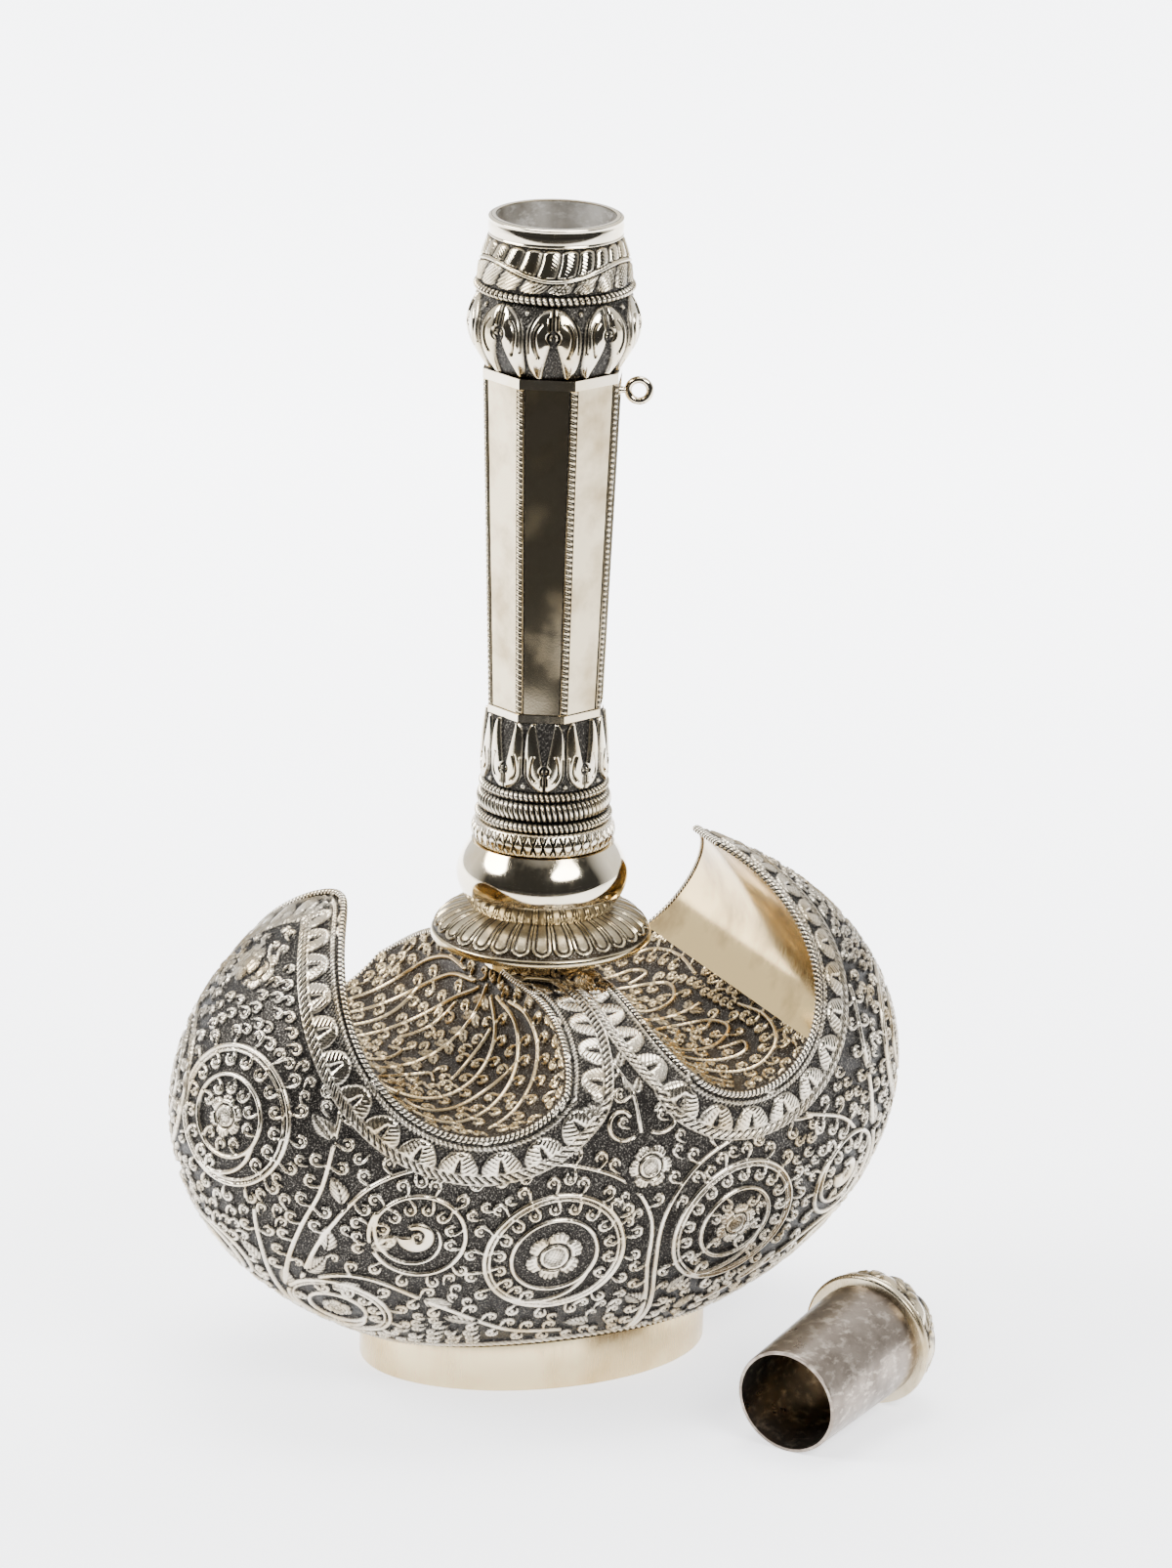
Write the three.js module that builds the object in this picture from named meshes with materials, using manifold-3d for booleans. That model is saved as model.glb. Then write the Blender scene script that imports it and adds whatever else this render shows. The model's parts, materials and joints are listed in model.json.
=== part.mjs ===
// Silver flask with a horned, scooped body, a tall octagonal neck and a plug cap lying beside it.
// Millimetres, +Z up. X runs along the horns and the ridge between the scoops runs along Y.
import * as THREE from 'three';
import { mergeVertices } from 'three/addons/utils/BufferGeometryUtils.js';
import Module from 'manifold-3d';

const wasm = await Module();
wasm.setup();

// Hollow ovoid body
const bodyHalfLength = 98;
const bodyHalfDepth = 62;
const bodyHalfHeight = 69;
const bodyCentreHeight = 71.5;
const bodyWall = 1.3;
const seamGap = 0.3;
const bowlRimHeight = 77;

// Round scoops that run right through the body from front to back, each hammered to its own size
const leftScoopRadius = 26.8;
const leftScoopOffset = 40;
const leftScoopHeight = 106.6;
const leftTipAngle = 62;
const rightScoopRadius = 25.9;
const rightScoopOffset = 33.8;
const rightScoopHeight = 109.2;
const rightTipAngle = 61;
const scoopWall = 1.3;
const hornWallAngle = -42;

// Saddle between the scoops, flat under the neck and falling to the front and back
const saddleHeight = 104.2;
const saddleFlatHalf = 24;
const saddleFall = 21.7;
const saddleRun = 42;

// Chased vines: rings raised round flower bosses, the same on the front and the back
const vineWidth = 2.6;
const vineHeight = 0.9;
const vineRoot = 0.5;
const vineSteps = 12;
const bossSteps = 6;
const vineRings = [
  { longitude: -164, latitude: 7, ring: 18, boss: 5.6 },
  { longitude: -16, latitude: 7, ring: 18, boss: 5.6 },
  { longitude: -103, latitude: -21.4, ring: 18.4, boss: 7.8 },
  { longitude: -70.7, latitude: -20, ring: 18.4, boss: 6.2 },
  { longitude: -150, latitude: -39.5, ring: 13.5, boss: 4.2 },
  { longitude: -30, latitude: -39.5, ring: 13.5, boss: 4.2 },
];

// Oval foot
const footHalfLength = 46.5;
const footHalfDepth = 34;
const footWall = 1.8;

// Neck pieces from the saddle up, each with its own height and radii
const neckBore = 5.8;
const shaftBore = 12;
const stubHeight = 7.1;
const stubFootRadius = 14.6;
const stubHeadRadius = 17;
const stubHollow = 1;
const flangeHeight = 8.4;
const flangeRadius = 28.2;
const flangeHubRadius = 18.4;
const flangeEdge = 1.6;
const flangeShoulder = 1.5;
const flangeShoulderRise = 0.8;
const flangePetals = 30;
const flangePetalDepth = 0.7;
const flangePetalSharpness = 4;
const knopHeight = 17.3;
const knopRadius = 21.9;
const knopSeatRadius = 18.2;
const hatchedHeight = 6.3;
const hatchedRadius = 18.4;
const hatchedSeatRadius = 17.2;
const ropeBulge = 1;
const lowerRopeHeight = 2.6;
const lowerRopeRadius = 17.6;
const twistHeight = 5.3;
const twistRadius = 17.2;
const upperRopeHeight = 2.7;
const upperRopeRadius = 16.7;
const cupHeight = 18.1;
const cupFootRadius = 15.8;
const cupRadius = 15.6;
const cupHeadRadius = 14.6;
const lowerFilletHeight = 1.9;
const shaftHeight = 85.4;
const shaftFootRadius = 14.9;
const shaftHeadRadius = 17.9;
const shaftSides = 8;
const shaftTurn = -29.4;
const filletReach = 0.5;
const upperFilletHeight = 2.6;
const bulbHeight = 19.4;
const bulbFootRadius = 17.4;
const bulbRadius = 21.4;
const bulbHeadRadius = 19.6;
const bulbRopeHeight = 2.6;
const bulbRopeRadius = 20.4;
const leafHeight = 11.4;
const leafFootRadius = 19.6;
const leafHeadRadius = 16.6;
const leafBulge = 0.5;
const lipHeight = 5;
const lipRadius = 17.1;
const lipBulge = 0.6;
const mouthRadius = 15.15;

// Cap plug, tapered to seat in the neck's mouth
const plugLength = 40;
const plugTaper = 1.2;
const plugClearance = 0.15;
const plugWall = 0.9;
const capRimRadius = 17.7;
const capRimHeight = 2.6;
const capRimBulge = 0.4;
const capDomeRadius = 16.9;
const capDomeHeight = 15.5;
const capDomeWall = 1.2;

// Where the cap lies on the table, and which way it points
const capMouthX = 27;
const capMouthY = -94;
const capHeading = 33.8;

// Small ring for a chain, high on the neck
const loopDrop = 3.4;
const loopOuterRadius = 3.7;
const loopWireRadius = 0.75;
const loopStem = 1.3;
const loopStemFlare = 1.3;

// How finely curves are divided
const ringSegments = 24;
const scoopSegments = 64;
const bodySegments = 40;
const liningSegments = 28;
const arcSteps = 6;
const knopSteps = 10;
const wireSegments = 8;
const loopSegments = 24;

const silver = new THREE.MeshStandardMaterial({ color: 0xcfc6b6, roughness: 0.28, metalness: 1 });
const chasedSilver = new THREE.MeshStandardMaterial({ color: 0xa39b8c, roughness: 0.4, metalness: 1 });
const gilt = new THREE.MeshStandardMaterial({ color: 0xd8c3a0, roughness: 0.25, metalness: 1 });
const wornSilver = new THREE.MeshStandardMaterial({ color: 0x9c938a, roughness: 0.5, metalness: 1 });

const scoops = {
  left: {
    side: -1,
    radius: leftScoopRadius,
    offset: leftScoopOffset,
    height: leftScoopHeight,
    tip: leftScoopOffset + leftScoopRadius * Math.cos(radians(leftTipAngle)),
  },
  right: {
    side: 1,
    radius: rightScoopRadius,
    offset: rightScoopOffset,
    height: rightScoopHeight,
    tip: rightScoopOffset + rightScoopRadius * Math.cos(radians(rightTipAngle)),
  },
};

const flask = new THREE.Group();

function radians(degrees) {
  return THREE.MathUtils.degToRad(degrees);
}

// A closed mesh whose shared corners are merged, facing out
function closed(geometry) {
  geometry.deleteAttribute('normal');
  geometry.deleteAttribute('uv');
  return mergeVertices(geometry, 1e-4);
}

function toSolid(geometry) {
  const welded = closed(geometry);
  const vertProperties = new Float32Array(welded.attributes.position.array);
  const triVerts = new Uint32Array(welded.index.array);
  return new wasm.Manifold(new wasm.Mesh({ numProp: 3, vertProperties, triVerts }));
}

function toGeometry(solid) {
  const mesh = solid.getMesh();
  const geometry = new THREE.BufferGeometry();
  geometry.setAttribute('position', new THREE.BufferAttribute(mesh.vertProperties, 3));
  geometry.setIndex(new THREE.BufferAttribute(mesh.triVerts, 1));
  return geometry;
}

function add(parent, name, geometry, material, height = 0) {
  const mesh = new THREE.Mesh(geometry, material);
  mesh.name = name;
  mesh.position.z = height;
  geometry.computeVertexNormals();
  parent.add(mesh);
  return mesh;
}

// Turns a profile of [radius, height] pairs that closes on itself about Z
function revolve(profile, segments = ringSegments) {
  const points = profile.map(([radius, height]) => new THREE.Vector2(radius, height));
  points.push(points[0].clone());
  const geometry = new THREE.LatheGeometry(points, segments);
  geometry.rotateX(Math.PI / 2);
  return closed(geometry);
}

// Points of a bulging side from one radius and height to another
function bulge(footRadius, headRadius, height, reach, steps = arcSteps) {
  const side = [];
  for (let i = 0; i <= steps; i += 1) {
    const t = i / steps;
    const straight = footRadius + (headRadius - footRadius) * t;
    side.push([straight + reach * Math.sin(Math.PI * t), height * t]);
  }
  return side;
}

function ringWithBore(side, footBore, headBore = footBore) {
  const head = side[side.length - 1][1];
  return revolve([...side, [headBore, head], [footBore, side[0][1]]]);
}

function ellipsoid(inset, segments) {
  const geometry = new THREE.SphereGeometry(1, segments, segments / 2);
  geometry.rotateX(Math.PI / 2);
  geometry.scale(bodyHalfLength - inset, bodyHalfDepth - inset, bodyHalfHeight - inset);
  geometry.translate(0, 0, bodyCentreHeight);
  return toSolid(geometry);
}

// A block from one corner to the other
function block(low, high) {
  const size = new THREE.Vector3().subVectors(high, low);
  const geometry = new THREE.BoxGeometry(size.x, size.y, size.z);
  geometry.translate((low.x + high.x) / 2, (low.y + high.y) / 2, (low.z + high.z) / 2);
  return geometry;
}

// Far enough to pass every side of the body
const span = 2 * bodyHalfLength;

function belowHeight(height) {
  const low = new THREE.Vector3(-span, -span, height - span);
  return toSolid(block(low, new THREE.Vector3(span, span, height)));
}

// Everything above a height and further out than a distance, on a scoop's side
function beyond(scoop, distance, height) {
  const near = scoop.side > 0 ? distance : -span;
  const far = scoop.side > 0 ? span : -distance;
  return toSolid(block(new THREE.Vector3(near, -span, height), new THREE.Vector3(far, span, span)));
}

function scoopBore(scoop, grow) {
  const radius = scoop.radius + grow;
  const geometry = new THREE.CylinderGeometry(radius, radius, span, scoopSegments);
  geometry.translate(scoop.side * scoop.offset, 0, scoop.height);
  return toSolid(geometry);
}

// Everything above the saddle, from one horn's tip to the other's
function aboveSaddle(lower) {
  const top = saddleHeight - lower;
  const shape = new THREE.Shape();
  shape.moveTo(saddleFlatHalf, top);
  const end = new THREE.Vector2(saddleFlatHalf + saddleRun, top - saddleFall);
  shape.quadraticCurveTo(saddleFlatHalf + saddleRun / 2, top, end.x, end.y);
  const slope = 2 * saddleFall / saddleRun;
  const overshoot = bodyHalfDepth + 10 - end.x;
  shape.lineTo(end.x + overshoot, end.y - slope * overshoot);
  shape.lineTo(end.x + overshoot, top + bodyHalfHeight);
  shape.lineTo(-end.x - overshoot, top + bodyHalfHeight);
  shape.lineTo(-end.x - overshoot, end.y - slope * overshoot);
  shape.lineTo(-end.x, end.y);
  shape.quadraticCurveTo(-saddleFlatHalf - saddleRun / 2, top, -saddleFlatHalf, top);
  shape.closePath();
  const depth = scoops.left.tip + scoops.right.tip;
  const geometry = new THREE.ExtrudeGeometry(shape, { depth, bevelEnabled: false, curveSegments: arcSteps });
  const across = new THREE.Matrix4().makeBasis(
    new THREE.Vector3(0, 1, 0),
    new THREE.Vector3(0, 0, 1),
    new THREE.Vector3(1, 0, 0),
  );
  geometry.applyMatrix4(across);
  geometry.translate(-scoops.left.tip, 0, 0);
  return toSolid(geometry);
}

// Places in the body's surface round a point given by longitude and latitude in degrees
function surfaceAround(longitude, latitude) {
  const radii = new THREE.Vector3(bodyHalfLength, bodyHalfDepth, bodyHalfHeight);
  const level = Math.cos(radians(latitude));
  const unit = new THREE.Vector3(
    level * Math.cos(radians(longitude)),
    level * Math.sin(radians(longitude)),
    Math.sin(radians(latitude)),
  );
  const centre = unit.clone().multiply(radii);
  const normal = unit.clone().divide(radii).normalize();
  const east = new THREE.Vector3(-normal.y, normal.x, 0).normalize();
  const north = new THREE.Vector3().crossVectors(normal, east);
  return (away, angle, lift) => {
    const spot = centre.clone().addScaledVector(east, away * Math.cos(angle));
    spot.addScaledVector(north, away * Math.sin(angle));
    const onUnit = spot.divide(radii).normalize();
    const outward = onUnit.clone().divide(radii).normalize();
    const place = onUnit.multiply(radii).addScaledVector(outward, lift);
    place.z += bodyCentreHeight;
    return place;
  };
}

// A ridge raised in a ring, its two feet sunk in the wall
function vineRing(around, radius) {
  const section = [[-vineWidth / 2, -vineRoot], [vineWidth / 2, -vineRoot], [0, vineHeight]];
  const positions = [];
  const index = [];
  const count = section.length;
  for (let i = 0; i < vineSteps; i += 1) {
    const angle = (2 * Math.PI * i) / vineSteps;
    section.forEach(([across, lift]) => positions.push(...around(radius + across, angle, lift)));
    const next = (i + 1) % vineSteps;
    for (let k = 0; k < count; k += 1) {
      const side = (k + 1) % count;
      index.push(i * count + k, next * count + k, i * count + side);
      index.push(next * count + k, next * count + side, i * count + side);
    }
  }
  return solidFrom(positions, index);
}

// A low pointed boss at the heart of a ring
function flowerBoss(around, radius) {
  const positions = [...around(0, 0, vineHeight), ...around(0, 0, -vineRoot)];
  const index = [];
  for (let i = 0; i < bossSteps; i += 1) {
    positions.push(...around(radius, (2 * Math.PI * i) / bossSteps, -vineRoot));
    const here = i + 2;
    const next = ((i + 1) % bossSteps) + 2;
    index.push(0, here, next, 1, next, here);
  }
  return solidFrom(positions, index);
}

function solidFrom(positions, index) {
  const geometry = new THREE.BufferGeometry();
  geometry.setAttribute('position', new THREE.Float32BufferAttribute(positions, 3));
  geometry.setIndex(index);
  return toSolid(geometry);
}

function chasedVines() {
  const vines = [];
  for (const { longitude, latitude, ring, boss } of vineRings) {
    for (const face of [1, -1]) {
      const around = surfaceAround(longitude * face, latitude);
      vines.push(vineRing(around, ring), flowerBoss(around, boss));
    }
  }
  return wasm.Manifold.union(vines);
}

const outer = ellipsoid(0, bodySegments);
const lining = ellipsoid(bodyWall, liningSegments);
const chased = outer.add(chasedVines());
const outerForm = outer.subtract(aboveSaddle(0));

function addBowl() {
  const bowl = chased.subtract(lining).intersect(belowHeight(bowlRimHeight));
  const clear = scoopWall + seamGap;
  const open = bowl.subtract(scoopBore(scoops.left, clear)).subtract(scoopBore(scoops.right, clear));
  add(flask, 'body_bowl', toGeometry(open), chasedSilver);
}

// Outer skins of the two horns, outside their scoops
function addHorns() {
  for (const [name, scoop] of Object.entries(scoops)) {
    const half = beyond(scoop, scoop.offset, bowlRimHeight);
    const skin = chased.subtract(aboveSaddle(0)).subtract(lining).intersect(half);
    const shell = skin.subtract(scoopBore(scoop, scoopWall + seamGap));
    add(flask, `${name}_horn_shell`, toGeometry(shell), chasedSilver);
  }
}

// The two sheets that line each scoop: the plain wall on the horn and the chased floor
function addScoops() {
  for (const [name, scoop] of Object.entries(scoops)) {
    const sheet = scoopBore(scoop, scoopWall).subtract(scoopBore(scoop, 0)).intersect(outerForm);
    const above = block(new THREE.Vector3(-span, -span, 0), new THREE.Vector3(span, span, span));
    above.rotateY(-scoop.side * radians(hornWallAngle));
    above.translate(scoop.side * scoop.offset, 0, scoop.height);
    const wallZone = toSolid(above).intersect(beyond(scoop, scoop.offset, 0));
    add(flask, `${name}_horn_wall`, toGeometry(sheet.intersect(wallZone)), gilt);
    add(flask, `${name}_scoop_floor`, toGeometry(sheet.subtract(wallZone)), chasedSilver);
  }
}

// The ridge between the scoops, with the hole that opens the body into the neck
function addSaddle() {
  const { left, right } = scoops;
  const low = new THREE.Vector3(-left.offset, -span, bowlRimHeight);
  const between = toSolid(block(low, new THREE.Vector3(right.offset, span, span)));
  const inside = lining.subtract(aboveSaddle(bodyWall));
  const shell = outerForm.subtract(inside).intersect(between);
  const clear = scoopWall + seamGap;
  const open = shell.subtract(scoopBore(left, clear)).subtract(scoopBore(right, clear));
  const hole = new THREE.CylinderGeometry(neckBore, neckBore, bodyHalfHeight, ringSegments);
  hole.rotateX(Math.PI / 2);
  hole.translate(0, 0, saddleHeight);
  add(flask, 'saddle', toGeometry(open.subtract(toSolid(hole))), chasedSilver);
}

function ellipsePoints(halfLength, halfDepth) {
  const points = [];
  for (let i = 0; i < ringSegments; i += 1) {
    const angle = (2 * Math.PI * i) / ringSegments;
    points.push(new THREE.Vector2(halfLength * Math.cos(angle), halfDepth * Math.sin(angle)));
  }
  return points;
}

// Oval foot ring, flat below and cut to the belly above
function addFoot() {
  const shape = new THREE.Shape(ellipsePoints(footHalfLength, footHalfDepth));
  shape.holes.push(new THREE.Path(ellipsePoints(footHalfLength - footWall, footHalfDepth - footWall)));
  const depth = bodyCentreHeight / 2;
  const tube = new THREE.ExtrudeGeometry(shape, { depth, bevelEnabled: false });
  const foot = toSolid(tube).subtract(ellipsoid(-seamGap, bodySegments));
  add(flask, 'foot_ring', toGeometry(foot), gilt);
}

// Radius of the mouth at a depth below the lip, which the cap's sleeve plugs into
function mouthBore(depth) {
  return mouthRadius - plugTaper * Math.min(depth / plugLength, 1);
}

function prismRing(height, footRadius, headRadius, bore) {
  const outside = new THREE.CylinderGeometry(headRadius, footRadius, height, shaftSides);
  outside.rotateY(Math.PI / shaftSides + Math.PI / 2);
  outside.rotateX(Math.PI / 2);
  outside.rotateZ(radians(shaftTurn));
  outside.translate(0, 0, height / 2);
  const inside = new THREE.CylinderGeometry(bore, bore, 2 * height, ringSegments);
  inside.rotateX(Math.PI / 2);
  inside.translate(0, 0, height / 2);
  return toGeometry(toSolid(outside).subtract(toSolid(inside)));
}

// Flared foot of the neck whose petals run out from the hub to a thin edge
function petalFlange() {
  const steps = flangePetals * 3;
  const hub = new THREE.Vector2(flangeHubRadius, flangeHeight);
  const shoulder = new THREE.Vector2(flangeRadius - flangeShoulder, flangeHeight * flangeShoulderRise);
  const rim = new THREE.Vector2(flangeRadius, flangeEdge);
  const curve = new THREE.QuadraticBezierCurve(hub, shoulder, rim).getPoints(arcSteps - 1);
  const profile = [...curve, new THREE.Vector2(flangeRadius, 0), new THREE.Vector2(shaftBore, 0)];
  profile.push(new THREE.Vector2(shaftBore, flangeHeight));
  const positions = [];
  for (let i = 0; i < steps; i += 1) {
    const angle = (2 * Math.PI * i) / steps;
    const valley = Math.abs(Math.cos((angle * flangePetals) / 2));
    profile.forEach((point, k) => {
      const along = k < curve.length ? Math.sin((Math.PI * k) / (curve.length - 1)) : 0;
      const drop = flangePetalDepth * along * valley ** flangePetalSharpness;
      positions.push((point.x - drop) * Math.cos(angle), (point.x - drop) * Math.sin(angle), point.y - drop);
    });
  }
  const count = profile.length;
  const index = [];
  for (let i = 0; i < steps; i += 1) {
    const next = (i + 1) % steps;
    for (let k = 0; k < count; k += 1) {
      const up = (k + 1) % count;
      index.push(i * count + k, i * count + up, next * count + k);
      index.push(next * count + k, i * count + up, next * count + up);
    }
  }
  const geometry = new THREE.BufferGeometry();
  geometry.setAttribute('position', new THREE.Float32BufferAttribute(positions, 3));
  geometry.setIndex(index);
  return geometry;
}

// The neck's pieces from the saddle up, each standing on the one before
const mouthHeight = bulbHeight + bulbRopeHeight + leafHeight + lipHeight;
const hatchedBulge = hatchedRadius - hatchedSeatRadius;
const cupBulge = cupRadius - (cupFootRadius + cupHeadRadius) / 2;
const bulbBulge = bulbRadius - (bulbFootRadius + bulbHeadRadius) / 2;

// Side of a rope ring whose widest part has the given radius
function ropeSide(radius, height, steps = 4) {
  return bulge(radius - ropeBulge, radius - ropeBulge, height, ropeBulge, steps);
}

const neckPieces = [
  ['neck_stub', stubHeight, silver, (h) => {
    return ringWithBore(bulge(stubFootRadius, stubHeadRadius, h, -stubHollow), neckBore);
  }],
  ['petal_flange', flangeHeight, silver, () => petalFlange()],
  ['cushion_knop', knopHeight, silver, (h) => {
    const side = bulge(knopSeatRadius, knopSeatRadius, h, knopRadius - knopSeatRadius, knopSteps);
    return ringWithBore(side, shaftBore);
  }],
  ['hatched_ring', hatchedHeight, chasedSilver, (h) => {
    return ringWithBore(bulge(hatchedSeatRadius, hatchedSeatRadius, h, hatchedBulge), shaftBore);
  }],
  ['lower_rope_ring', lowerRopeHeight, chasedSilver, (h) => {
    return ringWithBore(ropeSide(lowerRopeRadius, h), shaftBore);
  }],
  ['twist_band', twistHeight, chasedSilver, (h) => {
    return ringWithBore(ropeSide(twistRadius, h, arcSteps), shaftBore);
  }],
  ['upper_rope_ring', upperRopeHeight, chasedSilver, (h) => {
    return ringWithBore(ropeSide(upperRopeRadius, h), shaftBore);
  }],
  ['lower_lotus_cup', cupHeight, chasedSilver, (h) => {
    return ringWithBore(bulge(cupFootRadius, cupHeadRadius, h, cupBulge), shaftBore);
  }],
  ['lower_fillet', lowerFilletHeight, silver, (h) => {
    return prismRing(h, shaftFootRadius + filletReach, shaftFootRadius + filletReach, shaftBore);
  }],
  ['neck_shaft', shaftHeight, silver, (h) => prismRing(h, shaftFootRadius, shaftHeadRadius, shaftBore)],
  ['upper_fillet', upperFilletHeight, silver, (h) => {
    return prismRing(h, shaftHeadRadius + filletReach, shaftHeadRadius + filletReach, shaftBore);
  }],
  ['upper_lotus_bulb', bulbHeight, chasedSilver, (h) => {
    const side = bulge(bulbFootRadius, bulbHeadRadius, h, bulbBulge);
    return ringWithBore(side, mouthBore(mouthHeight), mouthBore(mouthHeight - h));
  }],
  ['bulb_rope_ring', bulbRopeHeight, chasedSilver, (h) => {
    const top = leafHeight + lipHeight;
    return ringWithBore(ropeSide(bulbRopeRadius, h), mouthBore(top + h), mouthBore(top));
  }],
  ['leaf_band', leafHeight, chasedSilver, (h) => {
    const side = bulge(leafFootRadius, leafHeadRadius, h, leafBulge);
    return ringWithBore(side, mouthBore(lipHeight + h), mouthBore(lipHeight));
  }],
  ['lip_band', lipHeight, silver, (h) => {
    const side = bulge(lipRadius - lipBulge, lipRadius - lipBulge, h, lipBulge);
    return ringWithBore(side, mouthBore(h), mouthRadius);
  }],
];

// Where each neck piece stands, by name
const neckFoot = {};

function addNeck() {
  let height = saddleHeight;
  for (const [name, pieceHeight, material, shape] of neckPieces) {
    neckFoot[name] = height;
    add(flask, name, shape(pieceHeight), material, height);
    height += pieceHeight;
  }
}

// A wire ring on a short stem, standing off one flat of the shaft
function addChainLoop() {
  const wire = loopOuterRadius - loopWireRadius;
  const ring = new THREE.TorusGeometry(wire, loopWireRadius, wireSegments, loopSegments);
  ring.rotateX(Math.PI / 2);
  const height = neckFoot.upper_fillet - loopDrop;
  const rise = (height - neckFoot.neck_shaft) / shaftHeight;
  const corner = shaftFootRadius + (shaftHeadRadius - shaftFootRadius) * rise;
  const flat = corner * Math.cos(Math.PI / shaftSides) + seamGap;
  const length = loopStem + loopWireRadius;
  const root = loopWireRadius * loopStemFlare;
  const stem = new THREE.CylinderGeometry(loopWireRadius, root, length, wireSegments);
  stem.rotateZ(-Math.PI / 2);
  stem.translate(flat + length / 2, 0, 0);
  ring.translate(flat + loopStem + loopOuterRadius, 0, 0);
  const loop = toGeometry(toSolid(ring).add(toSolid(stem)));
  const mesh = add(flask, 'chain_loop', loop, silver, height);
  mesh.rotation.z = radians(shaftTurn);
}

// The cap about its own axis: the open sleeve end at 0 and the dome at the far end
function addCap() {
  const footRadius = mouthBore(plugLength) - plugClearance;
  const headRadius = mouthRadius - plugClearance;
  const cap = new THREE.Group();
  const inside = [[headRadius - plugWall, plugLength], [footRadius - plugWall, 0]];
  add(cap, 'cap_sleeve', revolve([[footRadius, 0], [headRadius, plugLength], ...inside]), wornSilver);
  const edge = bulge(capRimRadius - capRimBulge, capRimRadius - capRimBulge, capRimHeight, capRimBulge, 4);
  add(cap, 'cap_rim_band', ringWithBore(edge, headRadius - plugWall), silver, plugLength);
  add(cap, 'cap_dome', domeShell(), chasedSilver, plugLength + capRimHeight);
  const lean = Math.atan((capRimRadius - footRadius) / (plugLength + capRimHeight / 2));
  cap.rotation.order = 'ZYX';
  cap.rotation.y = Math.PI / 2 - lean;
  cap.rotation.z = radians(capHeading);
  cap.position.set(capMouthX, capMouthY, footRadius * Math.cos(lean));
  flask.add(cap);
}

// A dome open below, as thick as its wall all over
function domeShell() {
  const side = [];
  const inside = [];
  for (let i = 0; i < arcSteps; i += 1) {
    const angle = (Math.PI / 2) * (i / arcSteps);
    const across = Math.cos(angle);
    const up = Math.sin(angle);
    side.push([capDomeRadius * across, capDomeHeight * up]);
    inside.push([(capDomeRadius - capDomeWall) * across, (capDomeHeight - capDomeWall) * up]);
  }
  side.push([0, capDomeHeight]);
  inside.push([0, capDomeHeight - capDomeWall]);
  return revolve([...side, ...inside.reverse()]);
}

addBowl();
addHorns();
addScoops();
addSaddle();
addFoot();
addNeck();
addChainLoop();
addCap();

// The origin is the middle of the underside of the flask and its cap together
flask.updateMatrixWorld(true);
const bounds = new THREE.Box3().setFromObject(flask, true);
flask.position.set(-(bounds.min.x + bounds.max.x) / 2, -(bounds.min.y + bounds.max.y) / 2, -bounds.min.z);

export default flask;
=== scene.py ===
"""Looks of a chased silver flask: a horned hollow body, an octagonal neck and a plug cap."""

import json
import math
import bmesh
import bpy
import numpy as np
from bpy.props import FloatProperty, PointerProperty, StringProperty
from mathutils import Matrix, Vector


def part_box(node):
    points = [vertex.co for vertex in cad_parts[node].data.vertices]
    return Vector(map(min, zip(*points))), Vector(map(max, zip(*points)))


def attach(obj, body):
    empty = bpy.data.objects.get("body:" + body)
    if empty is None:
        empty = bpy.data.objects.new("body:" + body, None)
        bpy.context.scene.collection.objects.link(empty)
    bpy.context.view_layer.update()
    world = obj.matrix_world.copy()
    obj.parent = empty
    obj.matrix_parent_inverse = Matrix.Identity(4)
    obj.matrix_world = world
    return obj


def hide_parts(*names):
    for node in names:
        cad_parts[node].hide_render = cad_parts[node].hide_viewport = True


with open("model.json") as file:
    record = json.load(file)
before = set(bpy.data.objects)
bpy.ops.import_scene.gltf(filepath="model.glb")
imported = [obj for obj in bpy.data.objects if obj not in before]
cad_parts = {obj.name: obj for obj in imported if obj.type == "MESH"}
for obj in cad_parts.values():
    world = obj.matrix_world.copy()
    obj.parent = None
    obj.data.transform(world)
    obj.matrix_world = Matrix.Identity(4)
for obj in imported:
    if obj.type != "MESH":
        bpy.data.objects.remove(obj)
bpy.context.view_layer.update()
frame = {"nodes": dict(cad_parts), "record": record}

bl_info = {
    "name": "Chased Silver Flask",
    "version": (1, 0, 0),
    "blender": (4, 5, 0),
    "location": "View3D > Sidebar > Flask",
    "description": "Builds the chased surfaces, bands, finishes and studio of a silver flask",
    "category": "Object",
}

MM = 0.001
SHAFT_LOW, SHAFT_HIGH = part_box("neck_shaft")
AXIS_Y = (SHAFT_LOW.y + SHAFT_HIGH.y) / 2
BOWL_LOW, BOWL_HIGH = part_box("body_bowl")

# Hollow body, in millimetres from the flask's own axis
BODY_LENGTH = 98.0
BODY_DEPTH = (BOWL_HIGH.y - BOWL_LOW.y) / 2 / MM
BODY_HEIGHT = 69.0
BOWL_RIM = BOWL_HIGH.z / MM
EQUATOR = BOWL_LOW.z / MM + BODY_HEIGHT
RADII = np.array([BODY_LENGTH, BODY_DEPTH, BODY_HEIGHT])
SADDLE_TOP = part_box("saddle")[1].z / MM
SADDLE_FLAT = 24.0
SADDLE_FALL = 21.7
SADDLE_RUN = 42.0

# The two scoops: side, offset, radius and height of the bore, and how far in the horn's tip reaches
LEFT_SCOOP = (-1, 40.0, 26.8, 106.6)
RIGHT_SCOOP = (1, 33.8, 25.9, 109.2)
LEFT_TIP = math.radians(62)
RIGHT_TIP = math.radians(61)
WALL_ANGLE = math.radians(-42)

# Relief of the chasing, and how far the chased skin stands off the plain wall
SKIN_LIFT = 0.08
RELIEF = 1.2
FLOOR_RELIEF = 1.05
RIM_ROPE = 1.0
BAND_WIDTH = 9.2
OUTER_ROPE = 1.3

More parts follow.
